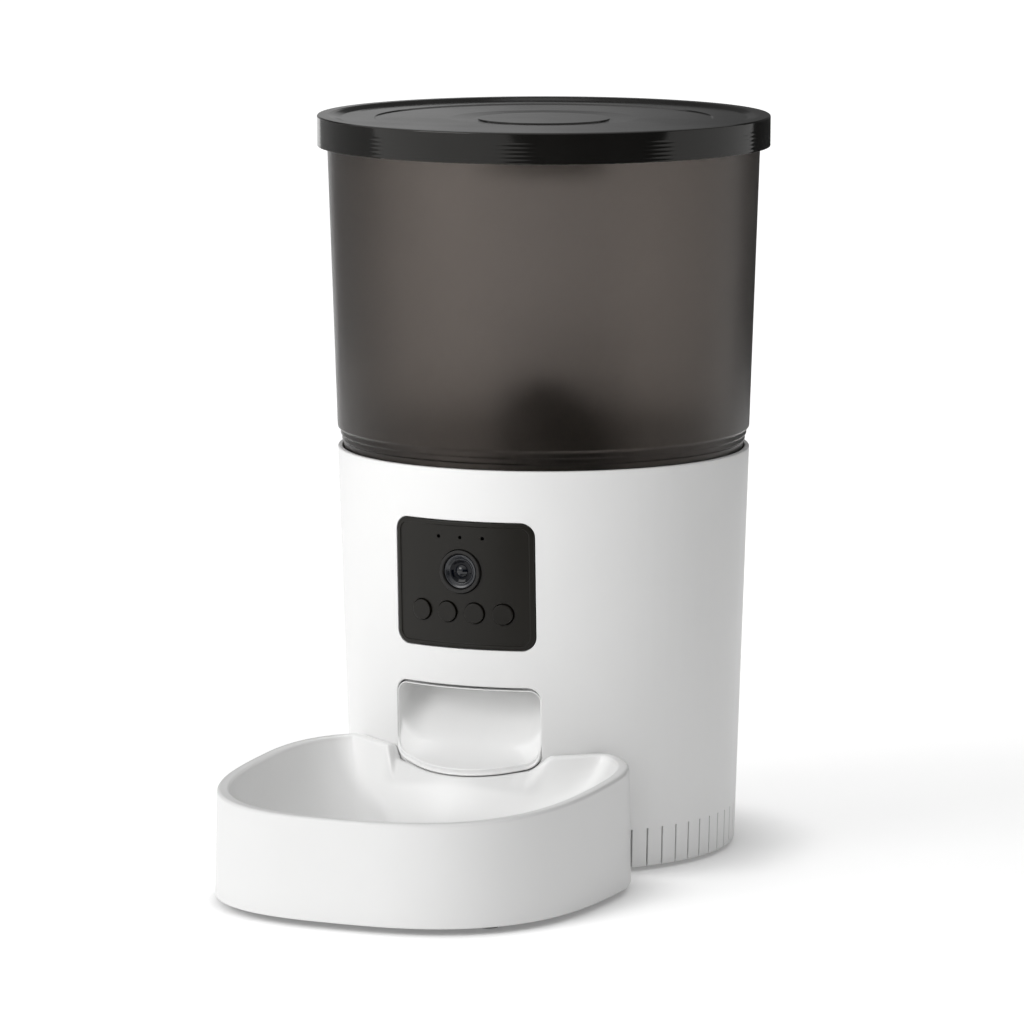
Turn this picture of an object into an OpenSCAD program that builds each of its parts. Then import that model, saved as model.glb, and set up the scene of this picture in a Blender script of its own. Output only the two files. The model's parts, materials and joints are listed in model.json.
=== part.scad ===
// Automatic pet feeder with camera: a round translucent hopper on a tapered
// white body, with a metering rotor and gear train, a discharge chute, a camera
// panel with push buttons, and a bowl that pulls off forwards.
// Millimetres, +Z up, front towards -Y. The origin is the centre of the
// overall box on the floor; the modules are drawn about the body's own axis.

/* [Body] */
// Outer radius of the body at its lower edge
body_r_low = 85.8; // [85.4:0.1:86.2]
// Outer radius of the body at its upper rim
body_r_top = 91.6; // [91.4:0.1:92]
// Height of the body's upper rim above the floor
body_top = 179; // [178:0.5:180]
// Wall thickness of the body shell
wall = 2.2; // [2:0.1:2.3]
// Vent slot pitches in a full turn
vent_div = 68; // [60:2:76]
// Height of the vent slots
vent_h = 17; // [10:0.5:20]
// Width of a vent slot
vent_w = 0.9; // [0.6:0.1:1.2]

/* [Hopper] */
// Outer radius of the hopper under the lid
hopper_r_top = 95.8; // [95:0.1:96.2]
// Outer radius of the hopper above its shoulder
hopper_r_low = 91.6; // [91.2:0.1:92]
// Wall thickness of the hopper
hopper_wall = 2.3; // [2:0.1:2.6]

/* [Lid] */
// Largest radius of the lid
lid_r = 100.8; // [100.4:0.1:101.2]
// Height of the lid's top above the floor
total_h = 326; // [325:0.5:327]

/* [Camera panel] */
// Half width of the panel
panel_hw = 32.6; // [31.5:0.1:33]
// Height of the panel's lower edge above the floor
panel_low = 100.1; // [99.5:0.1:101]
// Height of the panel's upper edge above the floor
panel_high = 156.1; // [155.5:0.1:156.5]
// Height of the lens axis above the floor
lens_z = 134; // [133:0.5:135]
// Height of the row of buttons above the floor
key_z = 116; // [115.5:0.5:116.5]
// Diameter of a button
key_d = 8.9; // [8.6:0.1:9]
// Spacing of the buttons
key_pitch = 12.84; // [12.6:0.02:13]

/* [Chute] */
// Half width of the opening in the body
mouth_hw = 34.4; // [33.8:0.1:35]
// Height of the opening's upper edge above the floor
mouth_high = 83.6; // [83.4:0.1:84]

/* [Bowl] */
// Half width of the bowl
bowl_hw = 84.2; // [83:0.1:85]
// How far the bowl's front reaches from the body axis
bowl_front = 217; // [212:1:222]
// Height of the rim at the front
rim_front = 47; // [45:0.5:49]
// Rise of the rim per millimetre towards the back
rim_slope = 0.052; // [0.03:0.002:0.07]

/* [Drive] */
// Gear module
gear_m = 0.8; // [0.8:0.1:0.8]
// Teeth of the rotor gear and of the idler's large gear
teeth_big = 48; // [48:1:48]
// Teeth of the motor pinion and of the idler's small gear
teeth_small = 16; // [16:1:16]
// Vanes of the metering rotor
vanes = 6; // [4:1:8]

/* [Hidden] */
$fn = 96;

foot_h = 2;                                  // lower edge of the body
y_off = (bowl_front - lid_r) / 2;            // body axis in the part's frame
gear_c = gear_m * (teeth_big + teeth_small) / 2;   // gear centre distance
deck_z = 140;                                // underside of the deck
tray_z = 116;                                // underside of the gearbox tray
key_x = [-1.5 * key_pitch, -0.5 * key_pitch, 0.5 * key_pitch, 1.5 * key_pitch];
dot_x = 10.4;
dot_z = 149;
board_y = -64;                               // front face of the camera board
keyb_y = -75.5;                              // front face of the key board
ear = [28, 110];                             // key board boss
post = [26, 103.6, 151];                     // camera board posts: x, low z, high z
screw_a = [45, 135, 225, 315];
foot_a = [25, 155, 205, 335];
deck_a = [30, 150, 210, 330];
bay = [31, -10, 46];                         // battery bay: half width, front, back
hinge_y = bay[1] - 1.85;                     // hinge axis of the battery door
spk = [-56, 4];                              // speaker centre

// Outer radius of the body at height z
function br(z) = body_r_low + (body_r_top - body_r_low) * (z - foot_h) / (body_top - foot_h);

module place() { translate([0, y_off, 0]) children(); }
module lathe(pts) { rotate_extrude($fn = 160) polygon(pts); }
// Solid cone that follows the body, grown by g, between two heights
module body_cone(g, z0, z1) {
  lathe([[0, z0], [br(z0) + g, z0], [br(z1) + g, z1], [0, z1]]);
}
// Rounded rectangle in the front plane (x across, second coordinate up)
module front_rect(hw, z0, z1, r) {
  translate([-hw + r, z0]) square([2 * hw - 2 * r, z1 - z0]);
  translate([-hw, z0 + r]) square([2 * hw, z1 - z0 - 2 * r]);
  for (x = [-hw + r, hw - r], z = [z0 + r, z1 - r]) translate([x, z]) circle(r = r, $fn = 48);
}
// Extrudes a front-plane shape from y0 to y1
module along_y(y0, y1) {
  translate([0, y1, 0]) rotate([90, 0, 0]) linear_extrude(height = y1 - y0) children();
}
// Cylinder along Y
module rod_y(x, z, r, y0, y1) {
  translate([x, y1, z]) rotate([90, 0, 0]) cylinder(r = r, h = y1 - y0, $fn = 48);
}
// Profile turned about the lens axis: first coordinate radius, second -y
module lens_lathe(pts) {
  translate([0, 0, lens_z]) rotate([90, 0, 0]) rotate_extrude($fn = 96) polygon(pts);
}
module box(p, q) { translate(p) cube([q[0] - p[0], q[1] - p[1], q[2] - p[2]]); }
module polar(angles, r) { for (a = angles) rotate(a) translate([r, 0, 0]) children(); }

// ---------------------------------------------------------------- gears
pa = 20;                                     // pressure angle
function inv_pt(rb, u) = [rb * (cos(u) + u * PI / 180 * sin(u)), rb * (sin(u) - u * PI / 180 * cos(u))];
function roll(rb, r) = r <= rb ? 0 : sqrt(r * r / (rb * rb) - 1) * 180 / PI;
function turn(p, a) = [p[0] * cos(a) - p[1] * sin(a), p[0] * sin(a) + p[1] * cos(a)];
// One tooth centred on +X: root, involute flank, tip and back again
function tooth(n, m, play) =
  let (rp = n * m / 2, rb = rp * cos(pa), ra = rp + 0.92 * m, rf = rp - 1.25 * m,
       up = roll(rb, rp), ua = roll(rb, ra), r0 = max(rf, rb), u0 = roll(rb, r0),
       pp = inv_pt(rb, up), half = 90 / n - play / 2 / rp * 180 / PI,
       sh = -(half + atan2(pp[1], pp[0])),
       k = 5,
       side = [for (i = [0:k]) turn(inv_pt(rb, u0 + (ua - u0) * i / k), sh)])
  concat([turn([rf, 0], atan2(side[0][1], side[0][0]) - 0.4)], side,
         [for (i = [k:-1:0]) [side[i][0], -side[i][1]]],
         [turn([rf, 0], -atan2(side[0][1], side[0][0]) + 0.4)]);
function gear_pts(n, m, play) = let (t = tooth(n, m, play)) [for (i = [0:n - 1]) for (p = t) turn(p, i * 360 / n)];
module gear(n, h, phase) { rotate(phase) linear_extrude(height = h) polygon(gear_pts(n, gear_m, 0.24)); }

// ---------------------------------------------------------------- housing
module body_shell() color("white") place() difference() {
  union() {
    lathe([[br(foot_h) - wall, foot_h], [br(foot_h) - 0.7, foot_h], [br(foot_h + 0.7), foot_h + 0.7],
           [br(body_top - 0.7), body_top - 0.7], [body_r_top - 0.6, body_top],
           [body_r_top - wall + 0.5, body_top], [body_r_top - wall, body_top - 0.5]]);
    // ledge that carries the deck
    lathe([[82, deck_z - 0.1], [82, deck_z - 2.5], [br(131) - 1, 131], [br(deck_z) - 1, deck_z - 0.1]]);
    polar(deck_a, 84) translate([0, 0, 124]) cylinder(r = 3.6, h = deck_z - 0.1 - 124);
    // bosses for the base screws, each with a web to the wall
    polar(screw_a, 76) {
      translate([0, 0, 5.2]) cylinder(r = 4.2, h = 22);
      translate([3, -1.5, 20]) cube([6.2, 3, 7.2]);
    }
  }
  along_y(-100, -58) front_rect(panel_hw + 0.3, panel_low - 0.2, panel_high + 0.2, 6.2);
  along_y(-100, -70) front_rect(mouth_hw, 44.6, mouth_high, 5.7);
  // room for the camera boards in the ledge
  intersection() { box([-40, -100, 120], [40, -60, 139.95]); body_cone(0.05 - wall, 110, 150); }
  // vent slots up from the lower edge, all round except behind the bowl
  for (k = [9:vent_div - 10]) if (abs(k - (vent_div - 1) / 2) > 1) rotate(-90 + (k + 0.5) * 360 / vent_div)
    translate([80, -vent_w / 2, foot_h - 1]) cube([12, vent_w, vent_h + 1]);
  // power inlet at the back
  rod_y(0, 15, 5, 70, 100);
  polar(deck_a, 84) translate([0, 0, 126]) cylinder(r = 1.4, h = 20);
  polar(screw_a, 76) translate([0, 0, 0]) cylinder(r = 1.6, h = 22);
}

module base_plate() color("gainsboro") place() difference() {
  union() {
    translate([0, 0, foot_h]) cylinder(r = br(foot_h) - wall - 0.4, h = 3);
    box([-bay[0] - 1.8, bay[1] - 1.8, foot_h + 1], [bay[0] + 1.8, bay[2] + 1.8, 23]);
    // speaker wall
    translate([spk[0], spk[1], foot_h + 1]) cylinder(r = 19.2, h = 6);
    // slotted rails for the main board
    for (s = [-1, 1]) box([s * 30.5 - 3, 64, foot_h + 1], [s * 30.5 + 3, 73, 60]);
    // seat of the power inlet
    box([-8, 69.4, foot_h + 1], [8, 77.8, 9.4]);
  }
  // battery bay and the door's recess
  box([-bay[0], bay[1], foot_h - 1], [bay[0], bay[2], 21]);
  box([-bay[0] - 4, bay[1] - 3, foot_h - 1], [bay[0] + 4, bay[2] + 3, foot_h + 1.9]);
  // snap slots for the door's hinge pins
  for (s = [-1, 1]) box([s * (bay[0] + 4.9) - 1, hinge_y - 0.75, foot_h - 1], [s * (bay[0] + 4.9) + 1, hinge_y + 0.75, foot_h + 1.6]);
  // finger notch behind the door's latch
  translate([0, bay[2] + 3, foot_h - 1]) cylinder(r = 7, h = 2.4);
  // speaker seat and grille
  translate([spk[0], spk[1], foot_h + 3]) cylinder(r = 17.6, h = 20);
  translate([spk[0], spk[1], foot_h - 1]) for (i = [-2:2], j = [-2:2])
    if (i * i + j * j <= 5) translate([i * 5, j * 5, 0]) cylinder(r = 1.1, h = 6, $fn = 24);
  for (s = [-1, 1]) box([s * 30.5 - 1.5, 67.8, 24], [s * 30.5 + 1.5, 69.8, 61]);
  for (s = [-1, 1]) box([s * 28.5 - 1.5, 67.8, 24], [s * 28.5 + 1.5, 69.8, 61]);
  polar(screw_a, 76) translate([0, 0, 0]) { cylinder(r = 1.8, h = 9); cylinder(r = 3.4, h = foot_h + 1.5); }
  polar(foot_a, 68) translate([0, 0, 0]) cylinder(r = 6.7, h = foot_h + 0.5);
}

module base_feet() color("dimgray") place()
  polar(foot_a, 68) cylinder(r = 6.5, h = foot_h + 0.5);

module base_screws() color("silver") place() polar(screw_a, 76) difference() {
  union() {
    translate([0, 0, foot_h + 0.2]) cylinder(r = 3, h = 1.3);
    cylinder_at(foot_h + 1.4, 20, 1.45);
  }
  cross_slot(foot_h);
}
module cylinder_at(z0, z1, r) { translate([0, 0, z0]) cylinder(r = r, h = z1 - z0, $fn = 48); }
module cross_slot(z) {
  translate([-1.6, -0.3, z]) cube([3.2, 0.6, 0.9]);
  translate([-0.3, -1.6, z]) cube([0.6, 3.2, 0.9]);
}

module battery_door() color("whitesmoke") place() difference() {
  union() {
    box([-bay[0] - 3.6, hinge_y, foot_h + 0.1], [bay[0] + 3.6, bay[2] + 2.6, foot_h + 1.6]);
    // rounded hinge edge with a pin at each end
    translate([0, hinge_y, foot_h + 0.85]) rotate([0, 90, 0]) {
      cylinder(r = 0.75, h = 2 * bay[0] + 7.2, center = true, $fn = 32);
      cylinder(r = 0.55, h = 2 * bay[0] + 10.8, center = true, $fn = 32);
    }
    // latch tongue inside the bay
    box([-6, bay[2] - 2.6, foot_h + 1.5], [6, bay[2] - 1, foot_h + 6]);
  }
  // grip grooves
  for (i = [0:3]) box([-10, bay[2] - 8 - i * 3, foot_h - 1], [10, bay[2] - 6.6 - i * 3, foot_h + 0.6]);
}

module battery_contacts() color("silver") place() {
  for (x = [-22.5, -7.5, 7.5, 22.5]) {
    box([x - 5.5, bay[1] + 0.2, 7], [x + 5.5, bay[1] + 0.6, 20]);
    box([x - 5.5, bay[2] - 0.6, 7], [x + 5.5, bay[2] - 0.2, 20]);
  }
}

// Conical contact springs, one at the minus end of each cell
function coil_pt(i, n, turns, r0, r1, len) =
  let (f = i / n, r = r0 + (r1 - r0) * f) [r * cos(360 * turns * f), r * sin(360 * turns * f), len * f];
module coil(turns, r0, r1, len, w) {
  n = 30; k = 6;
  pts = [for (i = [0:n]) let (c = coil_pt(i, n, turns, r0, r1, len), a = 360 * turns * i / n)
    for (j = [0:k - 1]) [c[0] + w * cos(360 * j / k) * cos(a), c[1] + w * cos(360 * j / k) * sin(a), c[2] + w * sin(360 * j / k)]];
  polyhedron(points = pts, faces = concat([[for (j = [0:k - 1]) j]], [[for (j = [k - 1:-1:0]) n * k + j]],
    [for (i = [0:n - 1], j = [0:k - 1]) [i * k + j, (i + 1) * k + j, (i + 1) * k + (j + 1) % k, i * k + (j + 1) % k]]));
}
module battery_springs() color("silver") place()
  for (x = [-22.5, -7.5, 7.5, 22.5])
    translate([x, x == -22.5 || x == 7.5 ? bay[1] + 1.1 : bay[2] - 1.1, 13.5])
      rotate([x == -22.5 || x == 7.5 ? -90 : 90, 0, 0]) coil(3, 4.4, 2.4, 5, 0.35);

// ---------------------------------------------------------------- dispenser
module dispenser_deck() color("gainsboro") place() difference() {
  union() {
    translate([0, 0, deck_z]) cylinder(r = 87, h = 3);
    // metering cup
    translate([0, 0, deck_z + 1]) cylinder(r = 57.4, h = 24.2);
    // shaft boss, idler boss and the posts of the gearbox tray
    cylinder_at(133.5, deck_z + 1, 9);
    translate([0, gear_c, 0]) cylinder_at(133, deck_z + 1, 4.5);
    for (x = [-26, 26], y = [-9, 63]) translate([x, y, 0]) cylinder_at(tray_z + 3.05, deck_z + 1, 3.5);
  }
  translate([0, 0, deck_z + 3]) cylinder(r = 55, h = 30);
  box([-38, -100, 130], [38, -61, 160]);
  // discharge port: an annular sector at the front of the cup
  intersection() {
    difference() { cylinder_at(deck_z - 1, deck_z + 4, 53.5); cylinder_at(deck_z - 2, deck_z + 5, 32); }
    translate([0, 0, deck_z - 1]) linear_extrude(height = 5) polygon([[0, 0], [-60 * tan(26), -60], [60 * tan(26), -60]]);
  }
  cylinder_at(130, 150, 5.95);
  translate([0, gear_c, 0]) cylinder_at(130, 139.9, 2.02);
  for (x = [-26, 26], y = [-9, 63]) translate([x, y, 0]) cylinder_at(tray_z, 134, 1.35);
  polar(deck_a, 84) cylinder_at(130, 150, 1.6);
}

module deck_screws() color("silver") place() polar(deck_a, 84) {
  cylinder_at(deck_z + 3, deck_z + 4.5, 2.7);
  cylinder_at(deck_z - 12, deck_z + 3.1, 1.3);
}

// The food's way down: side profile in Y and Z, extruded across X
module chute_yz(pts, hw) {
  rotate([90, 0, 90]) translate([0, 0, -hw]) linear_extrude(height = 2 * hw) polygon(pts);
}
chute_out = [[-110, 44.8], [-86.5, 44.9], [-54.6, 82.1], [-26.4, 139.9], [-57.4, 139.9], [-57.4, 102.4], [-63, 93.9], [-80.6, 83.3], [-110, 83.3]];
chute_in = [[-120, 47], [-87, 47.4], [-56, 83], [-28, 142], [-55.6, 142], [-55.6, 103], [-62, 92.5], [-80, 81.6], [-120, 81.6]];
module discharge_chute() color("white") place() difference() {
  intersection() {
    union() {
      intersection() { chute_yz(chute_out, mouth_hw - 0.3); along_y(-112, -71.9) front_rect(mouth_hw - 0.3, 44.8, mouth_high - 0.3, 5.4); }
      intersection() { chute_yz(chute_out, mouth_hw - 0.3); box([-50, -72, 40], [50, 0, 150]); }
      // flange under the deck
      box([-38, -60.4, deck_z - 3], [38, -24, deck_z - 0.1]);
    }
    union() {
      body_cone(0.3, 40, 145);
      // rolled lip that stands out over the bowl
      translate([0, -54, 40]) cylinder(r = 40, h = 9);
    }
  }
  intersection() { chute_yz(chute_in, mouth_hw - 2); along_y(-122, -71.9) front_rect(mouth_hw - 2, 46.9, mouth_high - 2, 4.2); }
  intersection() { chute_yz(chute_in, mouth_hw - 2); box([-50, -72, 40], [50, 0, 150]); }
}

module shaft_bush() color("goldenrod") place() difference() {
  union() { cylinder_at(134, deck_z + 3.2, 5.9); cylinder_at(deck_z + 3, deck_z + 3.8, 8); }
  cylinder_at(130, 150, 3.05);
}

module gearbox_tray() color("dimgray") place() difference() {
  union() {
    translate([0, 0, tray_z]) linear_extrude(height = 3) tray_outline(0);
    translate([0, 0, tray_z]) linear_extrude(height = deck_z - 0.2 - tray_z) difference() { tray_outline(0); tray_outline(1.6); }
  }
  cylinder_at(tray_z - 1, tray_z + 5, 3.05);
  translate([0, gear_c, 0]) cylinder_at(tray_z + 0.2, tray_z + 5, 2.02);
  translate([0, 2 * gear_c, 0]) cylinder_at(tray_z - 1, tray_z + 5, 4.2);
  for (x = [-8.5, 8.5]) translate([x, 2 * gear_c, 0]) { cylinder_at(tray_z - 1, tray_z + 5, 1.3); cylinder_at(tray_z + 1.8, tray_z + 5, 2.2); }
  for (x = [-26, 26], y = [-9, 63]) translate([x, y, 0]) cylinder_at(tray_z - 1, tray_z + 5, 1.6);
}
module tray_outline(o) translate([0, 24.5]) {
  translate([-32 + o, -41]) square([64 - 2 * o, 82]);
  translate([-26, -47 + o]) square([52, 94 - 2 * o]);
  for (x = [-26, 26], y = [-41, 41]) translate([x, y]) circle(r = 6 - o, $fn = 48);
}

module gearbox_screws() color("silver") place()
  for (x = [-26, 26], y = [-9, 63]) translate([x, y, 0]) {
    cylinder_at(tray_z - 1.8, tray_z - 0.05, 2.7);
    cylinder_at(tray_z - 0.1, tray_z + 14, 1.25);
  }

module idler_pin() color("silver") place() translate([0, gear_c, 0]) cylinder_at(tray_z + 0.3, 139.8, 2);

module motor() color("silver") place() translate([0, 2 * gear_c, 0]) difference() {
  union() {
    intersection() { cylinder_at(tray_z - 37, tray_z - 0.05, 13.5); box([-14, -10.2, 0], [14, 10.2, 200]); }
    cylinder_at(tray_z - 1, tray_z + 1.4, 4);
    cylinder_at(tray_z - 39, tray_z - 36, 5);
    for (x = [-7, 7]) box([x - 1, -3, tray_z - 42], [x + 1, -2.4, tray_z - 36]);
  }
  cylinder_at(tray_z - 14, tray_z + 3, 1.2);
  for (x = [-8.5, 8.5]) translate([x, 0, 0]) cylinder_at(tray_z - 6, tray_z + 1, 1.2);
}

module motor_screws() color("silver") place() translate([0, 2 * gear_c, 0])
  for (x = [-8.5, 8.5]) translate([x, 0, 0]) {
    cylinder_at(tray_z + 1.85, tray_z + 2.9, 2);
    cylinder_at(tray_z - 5, tray_z + 1.9, 1.1);
  }

// ---------------------------------------------------------------- electronics
module main_board() color("darkgreen") place() box([-29.5, 68, 24.5], [29.5, 69.6, 74]);

module board_parts() color("black") place() {
  // shield can, processor, capacitors, coil and plugs on the board's two faces
  box([-14, 66, 50], [6, 67.95, 68]);
  box([10, 66.6, 54], [20, 67.95, 64]);
  box([-22, 62.4, 28], [-12, 67.95, 36]);
  box([-6, 62.4, 28], [8, 67.95, 36]);
  for (x = [14, 22]) rod_y(x, 34, 3.2, 57, 67.95);
  rod_y(-18, 44, 4.4, 63.6, 67.95);
  box([-12, 69.65, 58], [12, 73.4, 63]);
}

// Flat cable from the back of the camera board round the chute to the main board
cable_path = [[22, -61.8, 112], [30, -61.6, 110], [40, -60, 106], [50, -53, 97], [58, -40, 84], [62, -10, 70],
  [60, 20, 64], [50, 46, 63], [38, 60, 66], [28, 65.6, 68.5], [20, 67.4, 69]];
module flat_cable() color("white") place() ribbon(cable_path, 8);
function unit(v) = v / norm(v);
// Flat strip, 0.6 thick and w high, swept along a path
module ribbon(path, w) {
  n = len(path) - 1;
  side = [for (i = [0:n]) let (d = path[min(i + 1, n)] - path[max(i - 1, 0)], u = unit([d[0], d[1], 0])) [-u[1], u[0], 0]];
  pts = [for (i = [0:n]) for (q = [[-0.3, -w / 2], [0.3, -w / 2], [0.3, w / 2], [-0.3, w / 2]]) path[i] + side[i] * q[0] + [0, 0, q[1]]];
  polyhedron(points = pts, faces = concat([[3, 2, 1, 0]], [[4 * n, 4 * n + 1, 4 * n + 2, 4 * n + 3]],
    [for (i = [0:n - 1], j = [0:3], h = [0, 1]) let (a = 4 * i + j, b = 4 * i + (j + 1) % 4, c = a + 4, e = b + 4) h == 0 ? [a, b, c] : [b, e, c]]));
}

module speaker() color("dimgray") place() translate([spk[0], spk[1], 0]) difference() {
  union() { cylinder_at(foot_h + 3.1, foot_h + 8.5, 17.2); cylinder_at(foot_h + 8.4, foot_h + 16, 10); }
  translate([0, 0, foot_h + 2.9]) cylinder(r1 = 16.2, r2 = 7.2, h = 5.3);
}
module speaker_cone() color("black") place() translate([spk[0], spk[1], 0])
  lathe([[0, foot_h + 6.4], [5, foot_h + 6.4], [13.8, foot_h + 3.4], [15.2, foot_h + 3.4], [7, foot_h + 7.6], [0, foot_h + 7.8]]);

module power_jack() color("black") place() difference() {
  union() {
    box([-5.5, 71, 9.5], [5.5, 82.4, 20.5]);
    rod_y(0, 15, 4.7, 82, br(15) - 0.4);
  }
  difference() { rod_y(0, 15, 3.1, 75, 100); rod_y(0, 15, 1, 70, 84); }
}

// ---------------------------------------------------------------- camera panel
module camera_panel() color("dimgray") place() difference() {
  union() {
    intersection() {
      difference() { body_cone(0.3, panel_low - 4, panel_high + 4); body_cone(-2.7, panel_low - 5, panel_high + 5); }
      along_y(-100, -60) front_rect(panel_hw, panel_low, panel_high, 6);
    }
    // posts for the boards and the microphone's collar
    intersection() {
      union() {
        for (s = [-1, 1]) {
          rod_y(s * post[0], post[1], 2.5, -95, board_y - 0.05);
          rod_y(s * post[0], post[2], 2.5, -95, board_y - 0.05);
          rod_y(s * ear[0], ear[1], 2.4, -95, keyb_y - 0.05);
        }
        rod_y(0, dot_z, 3.4, -95, -82);
      }
      body_cone(-1.5, panel_low - 4, panel_high + 4);
    }
  }
  // face lowered inside the border
  intersection() {
    difference() { body_cone(5, panel_low, panel_high); body_cone(-0.2, panel_low - 1, panel_high + 1); }
    along_y(-100, -60) front_rect(panel_hw - 2.1, panel_low + 2.1, panel_high - 2.1, 4.2);
  }
  rod_y(0, lens_z, 9.75, -100, -70);
  for (x = key_x) rod_y(x, key_z, key_d / 2 + 0.3, -100, -78);
  rod_y(0, dot_z, 0.75, -100, -80);
  rod_y(0, dot_z, 2.6, -86.6, -80);
  for (s = [-1, 1]) {
    rod_y(s * dot_x, dot_z, 0.8, -100, -70);
    rod_y(s * post[0], post[1], 1.05, -72, -60);
    rod_y(s * post[0], post[2], 1.05, -72, -60);
    rod_y(s * ear[0], ear[1], 1.05, -80.5, -70);
  }
}

module lens_ring() color("black") place()
  lens_lathe([[6, 78], [9.55, 78], [9.55, 84.9], [11.2, 84.9], [11.2, 86.1], [9.55, 86.1], [9.55, 90.2], [9.1, 90.7], [8.6, 90.7], [8.3, 90.3], [7.9, 90.3], [6, 87.6]]);

module lens_barrel() color("black") place()
  lens_lathe([[0, 66], [5.4, 66], [5.4, 77], [5.8, 77], [5.8, 87.2], [5.3, 87.2], [5.3, 85], [0, 85]]);

module lens_glass() color("midnightblue") place()
  lens_lathe(concat([[0, 85.1], [5.2, 85.1]], [for (i = [0:6]) let (a = 31.3 * (1 - i / 6)) [10 * sin(a), 86.1 + 10 * cos(a) - 10 * cos(31.3)]]));

module lens_holder() color("black") place() difference() {
  along_y(-74, board_y - 0.05) front_rect(8.2, lens_z - 8.2, lens_z + 8.2, 1.5);
  rod_y(0, lens_z, 5.45, -80, -60);
}

module camera_board() color("darkgreen") place() difference() {
  along_y(board_y, board_y + 1.6) front_rect(30, 100.5, 154, 2);
  for (s = [-1, 1], z = [post[1], post[2]]) rod_y(s * post[0], z, 1.3, -70, -60);
}

module key_board() color("darkgreen") place() difference() {
  along_y(keyb_y, keyb_y + 1.6) front_rect(31, 106.8, 122, 1.5);
  for (s = [-1, 1]) rod_y(s * ear[0], ear[1], 1.3, -80, -70);
}

module key_switches() color("black") place() for (x = key_x) {
  box([x - 3, keyb_y - 3.5, key_z - 3], [x + 3, keyb_y - 0.05, key_z + 3]);
  rod_y(x, key_z, 1.7, keyb_y - 4.6, keyb_y - 3.4);
}

module board_screws() color("silver") place() for (s = [-1, 1]) {
  for (z = [post[1], post[2]]) { rod_y(s * post[0], z, 0.95, -70, board_y + 1.7); rod_y(s * post[0], z, 1.9, board_y + 1.65, board_y + 2.9); }
  rod_y(s * ear[0], ear[1], 0.95, -79.5, keyb_y + 1.7);
  rod_y(s * ear[0], ear[1], 1.9, keyb_y + 1.65, keyb_y + 2.9);
}

module microphone() color("silver") place() rod_y(0, dot_z, 2.5, -86.4, -83);

module light_pipes() color("black") place() for (s = [-1, 1]) {
  intersection() { rod_y(s * dot_x, dot_z, 0.75, -95, -80); body_cone(-0.5, 140, 156); }
  rod_y(s * dot_x, dot_z, 1.7, -86, -80);
}

// A push button: cap that follows the panel's curve, flange behind the panel, stem
module button(i) {
  x = key_x[i];
  fl = -sqrt(pow(br(key_z) - 2.9, 2) - pow(abs(x) + 5.3, 2)) + 0.35;
  place() {
    intersection() { rod_y(x, key_z, key_d / 2, -95, fl + 0.1); body_cone(1, key_z - 8, key_z + 8); }
    rod_y(x, key_z, 5.3, fl, fl + 0.9);
    rod_y(x, key_z, 2, fl + 0.8, keyb_y - 5.5);
  }
}
module button_1() color("black") button(0);
module button_2() color("black") button(1);
module button_3() color("black") button(2);
module button_4() color("black") button(3);

// ---------------------------------------------------------------- rotor and gears
module metering_rotor() color("gray") place() difference() {
  union() {
    cylinder_at(144.3, 163, 24);
    for (i = [0:vanes - 1]) rotate(i * 360 / vanes + 15) box([22.5, -1.5, 144.3], [53.5, 1.5, 163]);
  }
  difference() { cylinder_at(147, 170, 21.6); cylinder_at(140, 163, 7); }
  cylinder_at(140, 170, 3.02);
}

module agitator_cap() color("black") place()
  lathe(concat([[21.8, 163.2], [24, 163.2], [24, 184]],
    [for (i = [1:11]) let (a = 90 * i / 12) [24 * cos(a), 184 + 24 * sin(a)]],
    [[0, 208], [0, 206]],
    [for (i = [11:-1:0]) let (a = 90 * i / 12) [21.8 * cos(a), 184 + 22 * sin(a)]]));

module rotor_shaft() color("silver") place() cylinder_at(tray_z + 0.4, 178, 3);

module rotor_gear() color("ivory") place() difference() {
  union() { translate([0, 0, 126]) gear(teeth_big, 6.5, 0); cylinder_at(126, 133.2, 6); }
  cylinder_at(120, 140, 3.02);
}

module idler_gear() color("ivory") place() translate([0, gear_c, 0]) difference() {
  union() {
    translate([0, 0, 120.3]) gear(teeth_big, 4.6, 0);
    translate([0, 0, 120.3]) gear(teeth_small, 12.2, 180 / teeth_small);
  }
  cylinder_at(110, 140, 2.05);
}

module motor_pinion() color("goldenrod") place() translate([0, 2 * gear_c, 0]) difference() {
  translate([0, 0, 120.3]) gear(teeth_small, 4.6, 180 / teeth_small);
  cylinder_at(110, 140, 1.17);
}

module motor_shaft() color("silver") place() translate([0, 2 * gear_c, 0]) cylinder_at(tray_z - 13, 126.5, 1.15);

// ---------------------------------------------------------------- hopper
hop_top = total_h - 5.5;
function hop_r(z) = hopper_r_low + (hopper_r_top - hopper_r_low) * (z - 187.5) / (313 - 187.5);
module hopper() color([0.3, 0.28, 0.27, 0.75]) place()
  lathe([[hop_r(hop_top) - 0.6, hop_top], [hop_r(hop_top - 0.6), hop_top - 0.6], [hopper_r_low, 187.5],
    [hopper_r_low - 0.4, 186.4], [90.4, 185.2], [90.4, 183.3], [90, 182.9], [89, 182.9], [88.5, 168], [86.5, 168],
    [86.8, 181.2], [57.8, 165.6], [54.6, 165.6], [54.6, 167.6], [57, 167.8], [87.4, 185], [88.9, 187.2],
    [hop_r(189) - hopper_wall, 190], [hop_r(hop_top) - hopper_wall, hop_top]]);

module sector(r0, r1, half, z0, z1) {
  intersection() {
    difference() { cylinder_at(z0, z1, r1); cylinder_at(z0 - 1, z1 + 1, r0); }
    translate([0, 0, z0]) linear_extrude(height = z1 - z0) polygon([[0, 0], [-100 * tan(half), -100], [100 * tan(half), -100]]);
  }
}
module outlet_cover() color("gray") place() {
  sector(25.5, 54.2, 36, 165.8, 168);
  sector(50, 56.6, 30, 167.95, 169.6);
}

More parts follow.
